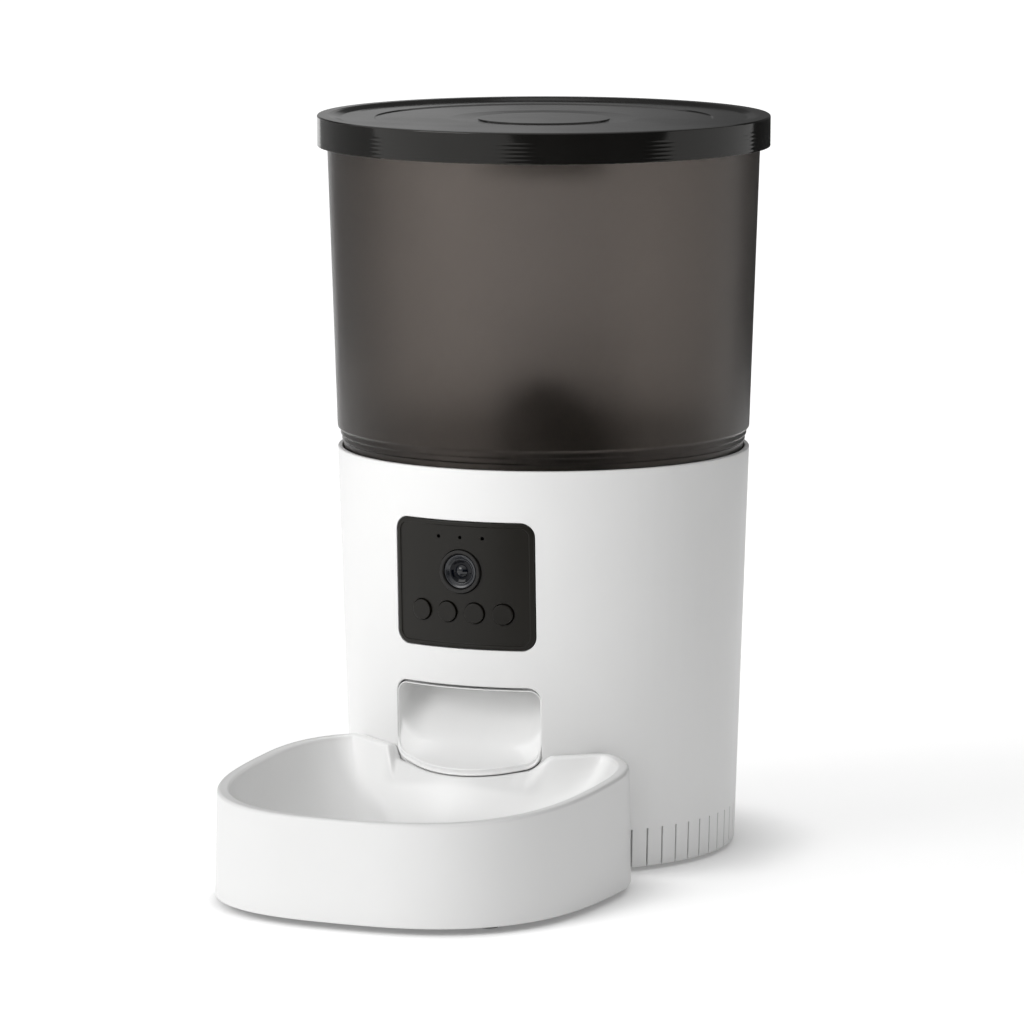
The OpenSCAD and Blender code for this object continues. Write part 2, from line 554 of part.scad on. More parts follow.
// ---------------------------------------------------------------- lid
lid_low = total_h - 13.5;
module lid() color([0.11, 0.11, 0.11]) place()
  lathe(concat(
    [[0, total_h - 1.4], [27.5, total_h - 1.4], [30.5, total_h - 2.2], [38.5, total_h - 2.2], [42, total_h - 1.4], [74.6, total_h - 1.4],
     [75.2, total_h - 1.7], [91.5, total_h - 1.7], [94.5, total_h - 0.3], [95.5, total_h]],
    [for (i = [0:4]) let (a = 90 - 22.5 * i) [lid_r - 2.3 + 2.3 * cos(a), total_h - 2.3 + 2.3 * sin(a)]],
    [[lid_r, total_h - 5.2]],
    [for (i = [0:3]) for (q = [[-0.5, 0.2], [-0.05, 0.9], [-0.05, 1.7]]) [lid_r + q[0] - 0.1 * i, total_h - 5.2 - q[1] - 2 * i]],
    [[lid_r - 0.8, lid_low], [98, lid_low], [98.2, total_h - 3.6], [92, total_h - 3.6], [91.6, total_h - 12], [89.8, total_h - 12],
     [89.6, total_h - 3.6], [0, total_h - 3.6]]));

module lid_seal() color("lightgray") place()
  lathe([[91.75, total_h - 11], [92.3, total_h - 11], [93, total_h - 9.6], [92.3, total_h - 8.6], [92.3, total_h - 8], [93, total_h - 7], [92.3, total_h - 6], [91.95, total_h - 6]]);

module desiccant_box() color("whitesmoke") place() difference() {
  cylinder_at(total_h - 24, total_h - 3.65, 27);
  cylinder_at(total_h - 25, total_h - 5.4, 25.2);
  for (i = [0:11]) rotate(i * 30) box([20, -1.2, total_h - 19], [30, 1.2, total_h - 8]);
}

module desiccant_cover() color("whitesmoke") place() difference() {
  union() {
    cylinder_at(total_h - 26.2, total_h - 24.3, 27);
    difference() { cylinder_at(total_h - 25, total_h - 20, 24.8); cylinder_at(total_h - 24.3, total_h - 19, 23); }
  }
  for (i = [-3:3]) box([-(18 - abs(i) * 2.4), i * 5 - 1, total_h - 27], [18 - abs(i) * 2.4, i * 5 + 1, total_h - 24]);
}

// ---------------------------------------------------------------- bowl
bowl_c = -119;                               // centre of the outline
bowl_n = 2.7;                                // roundness of the outline
bowl_steps = 72;
bowl_gap = 0.8;                              // gap to the body
// Point of the outline in direction t, o inside it: a superellipse cut back round the body
function outline(t, o, grow) =
  let (ca = cos(t), sa = sin(t), a = bowl_hw - grow - o, b = (sa < 0 ? bowl_front + bowl_c - grow : 65.5) - o,
       rs = pow(pow(abs(ca) / a, bowl_n) + pow(abs(sa) / b, bowl_n), -1 / bowl_n),
       rb = br(40) + bowl_gap + o, d = pow(bowl_c * sa, 2) - (bowl_c * bowl_c - rb * rb),
       s = (d >= 0 && sa > 0) ? -bowl_c * sa - sqrt(d) : 1000,
       r = min(rs, s))
  [r * ca, bowl_c + r * sa];
function smooth(x, a, b) = let (u = min(1, max(0, (x - a) / (b - a)))) u * u * (3 - 2 * u);
// Height of the rim: a tilted plane, lowered at the back under the chute's lip
function rim_z(p) = let (h = rim_front + rim_slope * (p[1] + bowl_front),
    w = smooth(-p[1], 120, 108) * (1 - smooth(abs(p[0]), 34.5, 38))) h + (40.4 - h) * w;
bowl_mid = [0, -148];
function toward(p, f) = bowl_mid + (p - bowl_mid) * (1 - f);
steps_in = [[0.03, 0.84], [0.08, 0.64], [0.15, 0.44], [0.24, 0.27], [0.35, 0.14], [0.48, 0.06], [0.64, 0.015], [0.8, 0]];
bowl_floor = 10;
function z_in(h, f) = bowl_floor + (h - 1.4 - bowl_floor) * f;
function ring(i) = [for (k = [0:bowl_steps - 1]) let (t = -90 + k * 360 / bowl_steps, p0 = outline(t, 0, 0), h = rim_z(p0))
  i == 0 ? concat(outline(t, 1, 0), 3) :
  i == 1 ? concat(outline(t, 0, 0), 4) :
  i == 2 ? concat(outline(t, 0, 1), h - 1) :
  i == 3 ? concat(outline(t, 1, 1), h) :
  i == 4 ? concat(outline(t, 5.4, 1), h) :
  i == 5 ? concat(outline(t, 6.6, 1), h - 1.4) :
  i < 14 ? let (s = steps_in[i - 6], p = toward(outline(t, 6.6, 1), s[0])) concat(p, z_in(h, s[1])) :
  i < 22 ? let (s = steps_in[21 - i], p = toward(outline(t, 4, 1), s[0])) concat(p, z_in(h, s[1]) - 2.6) :
  i == 22 ? concat(outline(t, 3.2, 1), h - 4) :
  i == 23 ? concat(outline(t, 2.6, 0), 5.2) :
  i == 24 ? concat(outline(t, 22, 0), 5.2) : concat(outline(t, 22, 0), 3)];
module bowl() color("white") place() {
  m = bowl_steps;
  rows = [for (i = [0:13]) ring(i)];
  rows2 = [for (i = [14:25]) ring(i)];
  pts = concat([for (r = rows) for (p = r) p], [for (r = rows2) for (p = r) p],
    [[bowl_mid[0], bowl_mid[1], bowl_floor], [bowl_mid[0], bowl_mid[1], bowl_floor - 2.6]]);
  quad = function (a, b, k) [[a * m + k, a * m + (k + 1) % m, b * m + (k + 1) % m], [a * m + k, b * m + (k + 1) % m, b * m + k]];
  polyhedron(points = pts, faces = concat(
    [for (i = [0:12], k = [0:m - 1]) for (f = quad(i + 1, i, k)) f],
    [for (i = [14:24], k = [0:m - 1]) for (f = quad(i + 1, i, k)) f],
    [for (k = [0:m - 1]) for (f = quad(0, 25, k)) f],
    [for (k = [0:m - 1]) [13 * m + k, 26 * m, 13 * m + (k + 1) % m]],
    [for (k = [0:m - 1]) [14 * m + k, 14 * m + (k + 1) % m, 26 * m + 1]]));
}

module bowl_feet() color("gainsboro") place()
  for (s = [-1, 1], p = [[55, -183], [68, -92]]) translate([s * p[0], p[1], 0]) cylinder(r = 4.15, h = 2.98);

// ---------------------------------------------------------------- assembly
body_shell();
base_plate();
base_feet();
base_screws();
battery_door();
battery_contacts();
battery_springs();
dispenser_deck();
deck_screws();
discharge_chute();
shaft_bush();
gearbox_tray();
gearbox_screws();
idler_pin();
motor();
motor_screws();
main_board();
board_parts();
flat_cable();
speaker();
speaker_cone();
power_jack();
camera_panel();
lens_ring();
lens_barrel();
lens_glass();
lens_holder();
camera_board();
key_board();
key_switches();
board_screws();
microphone();
light_pipes();
button_1();
button_2();
button_3();
button_4();
metering_rotor();
agitator_cap();
rotor_shaft();
rotor_gear();
idler_gear();
motor_pinion();
motor_shaft();
hopper();
outlet_cover();
lid();
lid_seal();
desiccant_box();
desiccant_cover();
bowl();
bowl_feet();
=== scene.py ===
import json
import math

import bmesh
import bpy
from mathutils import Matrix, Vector
from mathutils.geometry import delaunay_2d_cdt


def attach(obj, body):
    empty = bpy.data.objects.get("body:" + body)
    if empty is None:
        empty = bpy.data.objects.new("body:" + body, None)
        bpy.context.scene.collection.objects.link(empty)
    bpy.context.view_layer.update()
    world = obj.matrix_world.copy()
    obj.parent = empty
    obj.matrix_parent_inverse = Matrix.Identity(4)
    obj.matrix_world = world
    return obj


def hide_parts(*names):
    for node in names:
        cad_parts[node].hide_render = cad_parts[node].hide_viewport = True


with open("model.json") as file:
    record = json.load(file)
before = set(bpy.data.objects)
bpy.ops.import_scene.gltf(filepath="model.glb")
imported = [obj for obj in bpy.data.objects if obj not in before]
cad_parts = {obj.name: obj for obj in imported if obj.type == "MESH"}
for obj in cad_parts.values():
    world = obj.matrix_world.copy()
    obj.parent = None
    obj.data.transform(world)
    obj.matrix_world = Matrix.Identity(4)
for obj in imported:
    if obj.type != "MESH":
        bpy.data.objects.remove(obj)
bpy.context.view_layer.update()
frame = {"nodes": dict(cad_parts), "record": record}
nodes = frame["nodes"]

MM = 0.001
AXIS_Y = 58.1          # the body's axis in the part's frame
PITCH = 2 * math.pi / 68


# ---------------------------------------------------------------- small geometry helpers
def smooth(t):
    t = max(0.0, min(1.0, t))
    return t * t * (3 - 2 * t)


def lerp(a, b, t):
    return a + (b - a) * t


def br(z):
    """Outer radius of the tapered body at height z."""
    return 85.8 + 5.8 * (z - 2) / 177


def polar(a, z, d=0.0):
    """Point on the body at angle a from the front, d outside the surface."""
    r = br(z) + d
    return (r * math.sin(a), -r * math.cos(a), z)


def front(x, z, d=0.0):
    """Point of the body's front at (x, z), d outside the surface."""
    r = br(z) + d
    return (x, -math.sqrt(max(r * r - x * x, 1.0)), z)


def rounded(pts, n=5):
    """Closed path of (a, b, radius) with every corner rounded."""
    out = []
    m = len(pts)
    for i in range(m):
        p, q, s = Vector(pts[i - 1][:2]), Vector(pts[i][:2]), Vector(pts[(i + 1) % m][:2])
        rad = pts[i][2] if len(pts[i]) > 2 else 0
        u, v = p - q, s - q
        lu, lv = u.length, v.length
        if rad <= 0 or lu < 1e-6 or lv < 1e-6:
            out.append((q.x, q.y))
            continue
        u, v = u / lu, v / lv
        half = math.acos(max(-1, min(1, u.dot(v)))) / 2
        t = min(rad / max(math.tan(half), 1e-3), 0.47 * lu, 0.47 * lv)
        r = t * math.tan(half)
        a, b = q + u * t, q + v * t
        c = q + (u + v).normalized() * (r / max(math.sin(half), 1e-6))
        ra, rb = a - c, b - c
        ang = math.atan2(ra.x * rb.y - ra.y * rb.x, ra.dot(rb))
        for k in range(n + 1):
            w = ang * k / n
            d = Vector((ra.x * math.cos(w) - ra.y * math.sin(w), ra.x * math.sin(w) + ra.y * math.cos(w)))
            out.append((c.x + d.x, c.y + d.y))
    return out


def rrect(hw, z0, z1, rb, rt, sag=0.0):
    """Rounded rectangle (x, z), always with the same number of points, from the middle of the bottom edge to +x."""
    half = []
    for k in range(14):
        half.append(((hw - rb) * k / 13, z0))
    for k in range(1, 11):
        w = math.pi / 2 * k / 10
        half.append((hw - rb + rb * math.sin(w), z0 + rb - rb * math.cos(w)))
    for k in range(1, 11):
        half.append((hw, lerp(z0 + rb, z1 - rt, k / 10)))
    for k in range(1, 11):
        w = math.pi / 2 * k / 10
        half.append((hw - rt + rt * math.cos(w), z1 - rt + rt * math.sin(w)))
    for k in range(1, 12):
        half.append(((hw - rt) * (1 - k / 11), z1))
    half = [(x, z + sag * (x / hw) ** 2 * max(0.0, (z1 - z) / (z1 - z0)) ** 2) for x, z in half]
    return half + [(-x, z) for x, z in reversed(half[1:-1])]


def ring2(x, z, r, n):
    return [(x + r * math.cos(2 * math.pi * k / n), z + r * math.sin(2 * math.pi * k / n)) for k in range(n)]


def inside(loop, x, z):
    hit = False
    j = len(loop) - 1
    for i in range(len(loop)):
        a, b = loop[i], loop[j]
        if (a[1] > z) != (b[1] > z) and x < (b[0] - a[0]) * (z - a[1]) / (b[1] - a[1]) + a[0]:
            hit = not hit
        j = i
    return hit


class Piece:
    """Vertices in millimetres round the body's axis, faces as index tuples."""

    def __init__(self):
        self.v, self.f = [], []

    def add(self, pts):
        i = len(self.v)
        self.v.extend(pts)
        return list(range(i, i + len(pts)))

    def band(self, a, b, closed=True):
        n = len(a)
        for i in range(n if closed else n - 1):
            j = (i + 1) % n
            self.f.append((a[i], a[j], b[j], b[i]))

    def stack(self, loops):
        ids = [self.add(l) for l in loops]
        for a, b in zip(ids, ids[1:]):
            self.band(a, b)
        return ids

    def fan(self, loop, centre):
        c = self.add([centre])[0]
        n = len(loop)
        for i in range(n):
            self.f.append((loop[i], loop[(i + 1) % n], c))

    def lathe(self, path, seg=192, closed=True, at=None):
        """Turns a path of (r, h) round the body's axis, or round another axis through at(r cos, r sin, h)."""
        at = at or (lambda a, b, h: (a, b, h))
        rows = []
        for r, h in path:
            if r < 1e-4:
                rows.append(self.add([at(0, 0, h)]))
            else:
                rows.append(self.add([at(r * math.cos(2 * math.pi * k / seg), r * math.sin(2 * math.pi * k / seg), h) for k in range(seg)]))
        pairs = list(zip(rows, rows[1:])) + ([(rows[-1], rows[0])] if closed else [])
        for a, b in pairs:
            if len(a) == 1 and len(b) == 1:
                continue
            if len(a) == 1:
                self.f.extend((a[0], b[(k + 1) % seg], b[k]) for k in range(seg))
            elif len(b) == 1:
                self.f.extend((a[k], a[(k + 1) % seg], b[0]) for k in range(seg))
            else:
                self.band(a, b)
        return rows

    def cdt(self, pts, ids, loops, drop, second=None):
        """Triangles over 2-D points; loops are index lists kept as edges; drop(x, z) removes triangles. second gives ids of a copy."""
        edges = [(l[i], l[(i + 1) % len(l)]) for l in loops for i in range(len(l))]
        out = delaunay_2d_cdt([Vector(p) for p in pts], edges, [], 0, 1e-6)
        back = [o[0] if o else None for o in out[3]]
        for tri in out[2]:
            src = [back[i] for i in tri]
            if None in src:
                continue
            cx = sum(pts[s][0] for s in src) / 3
            cz = sum(pts[s][1] for s in src) / 3
            if drop(cx, cz):
                continue
            self.f.append(tuple(ids[s] for s in src))
            if second:
                self.f.append(tuple(second[s] for s in reversed(src)))

    def make(self, name, mat, body, stands_for, sharp=50):
        mesh = bpy.data.meshes.new(name)
        mesh.from_pydata([(x * MM, (y + AXIS_Y) * MM, z * MM) for x, y, z in self.v], [], self.f)
        bm = bmesh.new()
        bm.from_mesh(mesh)
        bmesh.ops.remove_doubles(bm, verts=bm.verts, dist=1e-7)
        bmesh.ops.delete(bm, geom=[v for v in bm.verts if not v.link_faces], context="VERTS")
        bmesh.ops.recalc_face_normals(bm, faces=bm.faces)
        bm.to_mesh(mesh)
        bm.free()
        mesh.shade_smooth()
        mesh.set_sharp_from_angle(angle=math.radians(sharp))
        obj = bpy.data.objects.new(name, mesh)
        bpy.context.scene.collection.objects.link(obj)
        mesh.materials.append(mat)
        wn = obj.modifiers.new("normals", "WEIGHTED_NORMAL")
        wn.keep_sharp = True
        wn.weight = 60
        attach(obj, body)
        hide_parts(*stands_for)
        return obj


# ---------------------------------------------------------------- materials
def base_nodes(name):
    mat = bpy.data.materials.new(name)
    mat.use_nodes = True
    nt = mat.node_tree
    return mat, nt, nt.nodes["Principled BSDF"], nt.nodes.new("ShaderNodeTexCoord")


def noise(nt, coord, scale, detail=3.0, rough=0.55):
    n = nt.nodes.new("ShaderNodeTexNoise")
    n.inputs["Scale"].default_value = scale
    n.inputs["Detail"].default_value = detail
    n.inputs["Roughness"].default_value = rough
    nt.links.new(coord.outputs["Object"], n.inputs["Vector"])
    return n


def ramp(nt, src, c0, c1, p0=0.3, p1=0.7):
    r = nt.nodes.new("ShaderNodeValToRGB")
    r.color_ramp.elements[0].position, r.color_ramp.elements[1].position = p0, p1
    r.color_ramp.elements[0].color = (*c0, 1)
    r.color_ramp.elements[1].color = (*c1, 1)
    nt.links.new(src, r.inputs["Fac"])
    return r.outputs["Color"]


def span(nt, src, lo, hi):
    m = nt.nodes.new("ShaderNodeMapRange")
    m.inputs["From Min"].default_value = 0.3
    m.inputs["From Max"].default_value = 0.7
    m.inputs["To Min"].default_value = lo
    m.inputs["To Max"].default_value = hi
    nt.links.new(src, m.inputs["Value"])
    return m.outputs["Result"]


def surface(name, col, rough, tone=0.03, grain=1400.0, bump=0.04, metal=0.0, spec=0.5, blotch=22.0, coat=0.0, coat_rough=0.1):
    """A moulded or machined finish: slow tone change, fine grain in the normal and uneven gloss."""
    mat, nt, p, tc = base_nodes(name)
    slow = noise(nt, tc, blotch, 2.0)
    fine = noise(nt, tc, grain, 2.0)
    lo = tuple(max(0.0, c * (1 - tone)) for c in col)
    hi = tuple(min(1.0, c * (1 + tone)) for c in col)
    nt.links.new(ramp(nt, slow.outputs["Fac"], lo, hi), p.inputs["Base Color"])
    nt.links.new(span(nt, slow.outputs["Fac"], max(0.02, rough - 0.03), rough + 0.03), p.inputs["Roughness"])
    b = nt.nodes.new("ShaderNodeBump")
    b.inputs["Strength"].default_value = bump
    b.inputs["Distance"].default_value = 0.0002
    nt.links.new(fine.outputs["Fac"], b.inputs["Height"])
    nt.links.new(b.outputs["Normal"], p.inputs["Normal"])
    p.inputs["Metallic"].default_value = metal
    p.inputs["Specular IOR Level"].default_value = spec
    p.inputs["Coat Weight"].default_value = coat
    p.inputs["Coat Roughness"].default_value = coat_rough
    return mat


def clear(name, col, rough, ior, tone=0.05, grain=900.0, bump=0.03, spec=0.5, low=None, inside=None):
    """A tinted see-through moulding with a slightly diffusing surface; low = (from height, to height, tint at the foot)
    darkens the tint towards the foot as painted shade.
    """
    mat = surface(name, col, rough, tone, grain, bump, spec=spec)
    nt = mat.node_tree
    p = nt.nodes["Principled BSDF"]
    p.inputs["Transmission Weight"].default_value = 1.0
    p.inputs["IOR"].default_value = ior
    if inside:
        v = nt.nodes.new("ShaderNodeVolumeAbsorption")
        v.inputs["Color"].default_value = (*inside[0], 1)
        v.inputs["Density"].default_value = inside[1]
        nt.links.new(v.outputs["Volume"], nt.nodes["Material Output"].inputs["Volume"])
    if low:
        # painted shade: the tint is multiplied darker towards the foot of the wall
        tint = p.inputs["Base Color"].links[0].from_socket
        xyz = nt.nodes.new("ShaderNodeSeparateXYZ")
        nt.links.new(nt.nodes["Texture Coordinate"].outputs["Object"], xyz.inputs["Vector"])
        m = nt.nodes.new("ShaderNodeMapRange")
        m.interpolation_type = "SMOOTHSTEP"
        m.inputs["From Min"].default_value = low[0]
        m.inputs["From Max"].default_value = low[1]
        nt.links.new(xyz.outputs["Z"], m.inputs["Value"])
        foot_shade = ramp(nt, m.outputs["Result"], (low[2], low[2], low[2]), (1, 1, 1), 0.0, 1.0)
        mix = nt.nodes.new("ShaderNodeMix")
        mix.data_type = "RGBA"
        mix.blend_type = "MULTIPLY"
        mix.inputs["Factor"].default_value = 1.0
        nt.links.new(tint, mix.inputs["A"])
        nt.links.new(foot_shade, mix.inputs["B"])
        nt.links.new(mix.outputs["Result"], p.inputs["Base Color"])
    return mat


WHITE = surface("white_satin", (0.79, 0.79, 0.785), 0.38, tone=0.008, grain=1600, bump=0.02)
LIGHT = surface("light_grey_plastic", (0.62, 0.62, 0.61), 0.45, tone=0.03)
DARK = surface("dark_grey_plastic", (0.075, 0.075, 0.077), 0.45, tone=0.06)
# The chute's white is a lighter copy of the body's white, painted light for its shaded inside.
CHUTE_PAINTED_LIGHTER = surface("white_satin_chute", (0.885, 0.885, 0.88), 0.4, tone=0.008, grain=1600, bump=0.02)
BOWL = surface("white_satin_bowl", (0.90, 0.90, 0.895), 0.36, tone=0.008, grain=1600, bump=0.02)
# The bowl's white is multiplied by painted light and shade from the basin attribute: darkest on the outer wall and on
# the apron under the chute's lip, lightest in the basin towards its back.
nt = BOWL.node_tree
painted_light_attr = nt.nodes.new("ShaderNodeAttribute")
painted_light_attr.attribute_name = "basin"
mix = nt.nodes.new("ShaderNodeMix")
mix.data_type = "RGBA"
mix.blend_type = "MULTIPLY"
mix.inputs["Factor"].default_value = 1.0
nt.links.new(nt.nodes["Principled BSDF"].inputs["Base Color"].links[0].from_socket, mix.inputs["A"])
nt.links.new(ramp(nt, painted_light_attr.outputs["Fac"], (0.766, 0.766, 0.766), (1, 1, 1), 0.0, 1.0), mix.inputs["B"])
nt.links.new(mix.outputs["Result"], nt.nodes["Principled BSDF"].inputs["Base Color"])
SMOKE = clear("smoke_clear", (0.93, 0.925, 0.92), 0.32, 1.45, spec=0.28, low=(0.178, 0.275, 0.85), inside=((0.10, 0.04, 0.0), 480.0))
SMOKE.node_tree.nodes["Principled BSDF"].inputs["Specular Tint"].default_value = (1.0, 0.87, 0.78, 1)
BLACK = surface("black_gloss", (0.0075, 0.0072, 0.0066), 0.12, tone=0.08, grain=500, bump=0.01, spec=0.44)
BLACK.node_tree.nodes["Principled BSDF"].inputs["Specular Tint"].default_value = (1.0, 0.985, 0.955, 1)
CHARCOAL = surface("charcoal_matte", (0.0078, 0.0066, 0.0044), 0.34, tone=0.05, grain=2600, bump=0.05, spec=0.24)
KEYCAP = surface("charcoal_key", (0.0072, 0.0061, 0.0041), 0.33, tone=0.05, grain=2600, bump=0.04, spec=0.235)
RUBBER = surface("foot_rubber", (0.19, 0.19, 0.19), 0.7, tone=0.06, grain=1100, bump=0.15, spec=0.3)
SEAL = surface("seal_silicone", (0.50, 0.50, 0.49), 0.6, tone=0.04)
STEEL = surface("steel", (0.55, 0.55, 0.54), 0.3, tone=0.08, grain=900, bump=0.06, metal=1.0)
BRASS = surface("brass", (0.66, 0.47, 0.19), 0.3, tone=0.08, grain=900, bump=0.06, metal=1.0)
NYLON = surface("gear_nylon", (0.72, 0.70, 0.62), 0.5, tone=0.04)
BOARD = surface("circuit_board", (0.015, 0.11, 0.045), 0.42, tone=0.2, grain=700, bump=0.12, blotch=260)
FILM = surface("cable_film", (0.70, 0.70, 0.68), 0.45, tone=0.05)
GLASS = surface("lens_glass", (0.0015, 0.002, 0.004), 0.05, tone=0.2, grain=300, bump=0.003, spec=0.2)
DOME = surface("lens_front_coated", (0.002, 0.003, 0.006), 0.07, tone=0.2, grain=300, bump=0.003, spec=0.55)
# Light pipes painted near black with no gloss: painted shade, so their holes read as dark as the open middle hole.
PIPE_PAINTED_SHADE = surface("light_pipe", (0.0006, 0.0006, 0.0006), 0.7, tone=0.1, spec=0.0)
LENSRING = surface("lens_ring_black", (0.0155, 0.0146, 0.0136), 0.42, tone=0.06, grain=1800, bump=0.03, spec=0.25)
LENSCONE = surface("lens_cone", (0.012, 0.0135, 0.017), 0.24, tone=0.05, grain=1500, bump=0.02, spec=0.6)
SLOTS = {"white_satin": WHITE, "light_grey_plastic": LIGHT, "dark_grey_plastic": DARK, "smoke_clear": SMOKE,
         "black_gloss": BLACK, "charcoal_matte": CHARCOAL, "foot_rubber": RUBBER, "seal_silicone": SEAL,
         "steel": STEEL, "brass": BRASS, "gear_nylon": NYLON, "circuit_board": BOARD, "cable_film": FILM,
         "lens_glass": GLASS}


# ---------------------------------------------------------------- CAD nodes that stay: finish and softened edges
slot_of = {s["node"]: s["material_slot"] for s in frame["record"]["subparts"]}
for n, o in nodes.items():
    o.data.materials.clear()
    o.data.materials.append(PIPE_PAINTED_SHADE if n == "light_pipes" else SLOTS[slot_of[n]])
for n, w in (("base_plate", 0.35), ("battery_door", 0.35), ("base_feet", 0.5), ("bowl_feet", 0.4), ("power_jack", 0.25),
             ("outlet_cover", 0.4), ("metering_rotor", 0.4), ("dispenser_deck", 0.4), ("desiccant_box", 0.4),
             ("desiccant_cover", 0.3), ("base_screws", 0.15), ("agitator_cap", 0.3)):
    b = nodes[n].modifiers.new("soft_edges", "BEVEL")
    b.width = w * MM
    b.segments = 2
    b.limit_method = "ANGLE"
    b.angle_limit = math.radians(40)
    b.use_clamp_overlap = True
    wn = nodes[n].modifiers.new("normals", "WEIGHTED_NORMAL")
    wn.keep_sharp = True


# ---------------------------------------------------------------- body shell
def body_shell():
    m = Piece()
    wall = 2.2
    zs = [2.7, 6, 10, 14.5, 19] + [19 + 7.6 * k for k in range(1, 21)] + [175, 178.3]
    rim = [(-0.7 + 0.7 * math.cos(w), 178.3 + 0.7 * math.sin(w)) for w in (0.5, 1.05, math.pi / 2)] \
        + [(-1.7, 179.0), (-1.95, 178.93), (-2.13, 178.72)]
    low = [(-wall, 2.0), (-0.7, 2.0), (-0.35, 2.094), (-0.094, 2.35)]
    prof = [(0.0, z) for z in zs] + rim + [(-wall, z) for z in reversed(zs)] + low
    nz, nr = len(zs), len(rim)
    inner_at = lambda i: nz + nr + (nz - 1 - i)

    # back and sides: columns that follow the vent slots
    h = 0.45 / 86.2
    cols, slot = [], []
    for k in range(8, 60):
        cols.append(k * PITCH)
        if 9 <= k <= 58 and abs(k - 33.5) > 1:
            cols += [(k + 0.5) * PITCH - h, (k + 0.5) * PITCH + h]
            slot += [False, True, False]
        else:
            cols.append((k + 0.5) * PITCH)
            slot += [False, False]
    cols.append(60 * PITCH)
    grid = [m.add([polar(a, z, d) for d, z in prof]) for a in cols]
    np_ = len(prof)
    top = zs.index(19)
    patch = range(cols.index(33 * PITCH), cols.index(35 * PITCH))
    lo_row, hi_row = zs.index(6), top + 1
    for c in range(len(cols) - 1):
        a, b = grid[c], grid[c + 1]
        for r in range(np_):
            s = (r + 1) % np_
            if slot[c] and (prof[r][1] <= 19 and prof[s][1] <= 19):
                continue
            if c in patch and all(prof[q][0] in (0.0, -wall) and zs[lo_row] <= prof[q][1] <= zs[hi_row] for q in (r, s)):
                continue
            m.f.append((a[r], b[r], b[s], a[s]))
        if slot[c]:
            io, ii = top, inner_at(top)
            m.f.append((a[io], a[ii], b[ii], b[io]))
            for g, flip in ((a, False), (b, True)):
                loop = [g[r] for r in range(0, io + 1)] + [g[r] for r in range(ii, np_)]
                m.f.append(tuple(reversed(loop)) if flip else tuple(loop))

    # round hole for the power inlet, in the patch left out at the back
    rear = lambda x, z, d=0.0: polar(math.pi + math.asin(x / (br(z) + d)), z, d)
    ring = lambda r: [(r * math.cos(w), 15 + r * math.sin(w)) for w in (2 * math.pi * k / 48 for k in range(48))]
    fr = 0.5
    rows = [m.add([rear(x, z) for x, z in ring(5 + fr)])]
    for w in (0.4, 0.8, 1.2, math.pi / 2):
        rows.append(m.add([rear(x, z, -fr * (1 - math.cos(w))) for x, z in ring(5 + fr * (1 - math.sin(w)))]))
    rows.append(m.add([rear(x, z, -wall) for x, z in ring(5)]))
    for a, b in zip(rows, rows[1:]):
        m.band(a, b)
    rim_of = [(patch[0], i) for i in range(lo_row, hi_row)] + [(c, hi_row) for c in patch] \
        + [(patch[-1] + 1, i) for i in range(hi_row, lo_row, -1)] + [(c + 1, lo_row) for c in reversed(patch)]
    pts = [((cols[c] - math.pi) * 86, zs[i]) for c, i in rim_of]
    ids = [grid[c][i] for c, i in rim_of]
    second = [grid[c][inner_at(i)] for c, i in rim_of]
    hole = [(math.asin(x / br(z)) * 86, z) for x, z in ring(5 + fr)]
    m.cdt(pts + hole, ids + rows[0], [list(range(len(pts))), list(range(len(pts), len(pts) + 48))],
          lambda x, z: inside(hole, x, z), second + rows[-1])

    # front: columns without slots, with the two windows cut out
    t = 8 * PITCH
    nf = 34
    fa = [-t + 2 * t * k / nf for k in range(nf + 1)]
    fgrid = [grid[-1]]
    for a in fa[1:-1]:
        ids = [None] * np_
        for r in [0, nz - 1] + list(range(nz, nz + nr)) + [inner_at(0), inner_at(nz - 1)] + list(range(np_ - len(low), np_)):
            ids[r] = m.add([polar(a, prof[r][1], prof[r][0])])[0]
        fgrid.append(ids)
    fgrid.append(grid[0])
    for c in range(nf):
        a, b = fgrid[c], fgrid[c + 1]
        for r in list(range(nz - 1, nz + nr)) + list(range(inner_at(0), np_)):
            s = (r + 1) % np_
            m.f.append((a[r], b[r], b[s], a[s]))

    windows = [((32.9, 99.9, 156.3, 6.2, 6.2, 0.0), 0.45), ((34.2, 44.5, 83.5, 6.0, 5.5, 4.0), 0.7)]
    pts, ids, second, loops = [], [], [], []

    def param(x, z, d=0.0):
        return (math.asin(x / (br(z) + d)) * 88, z)

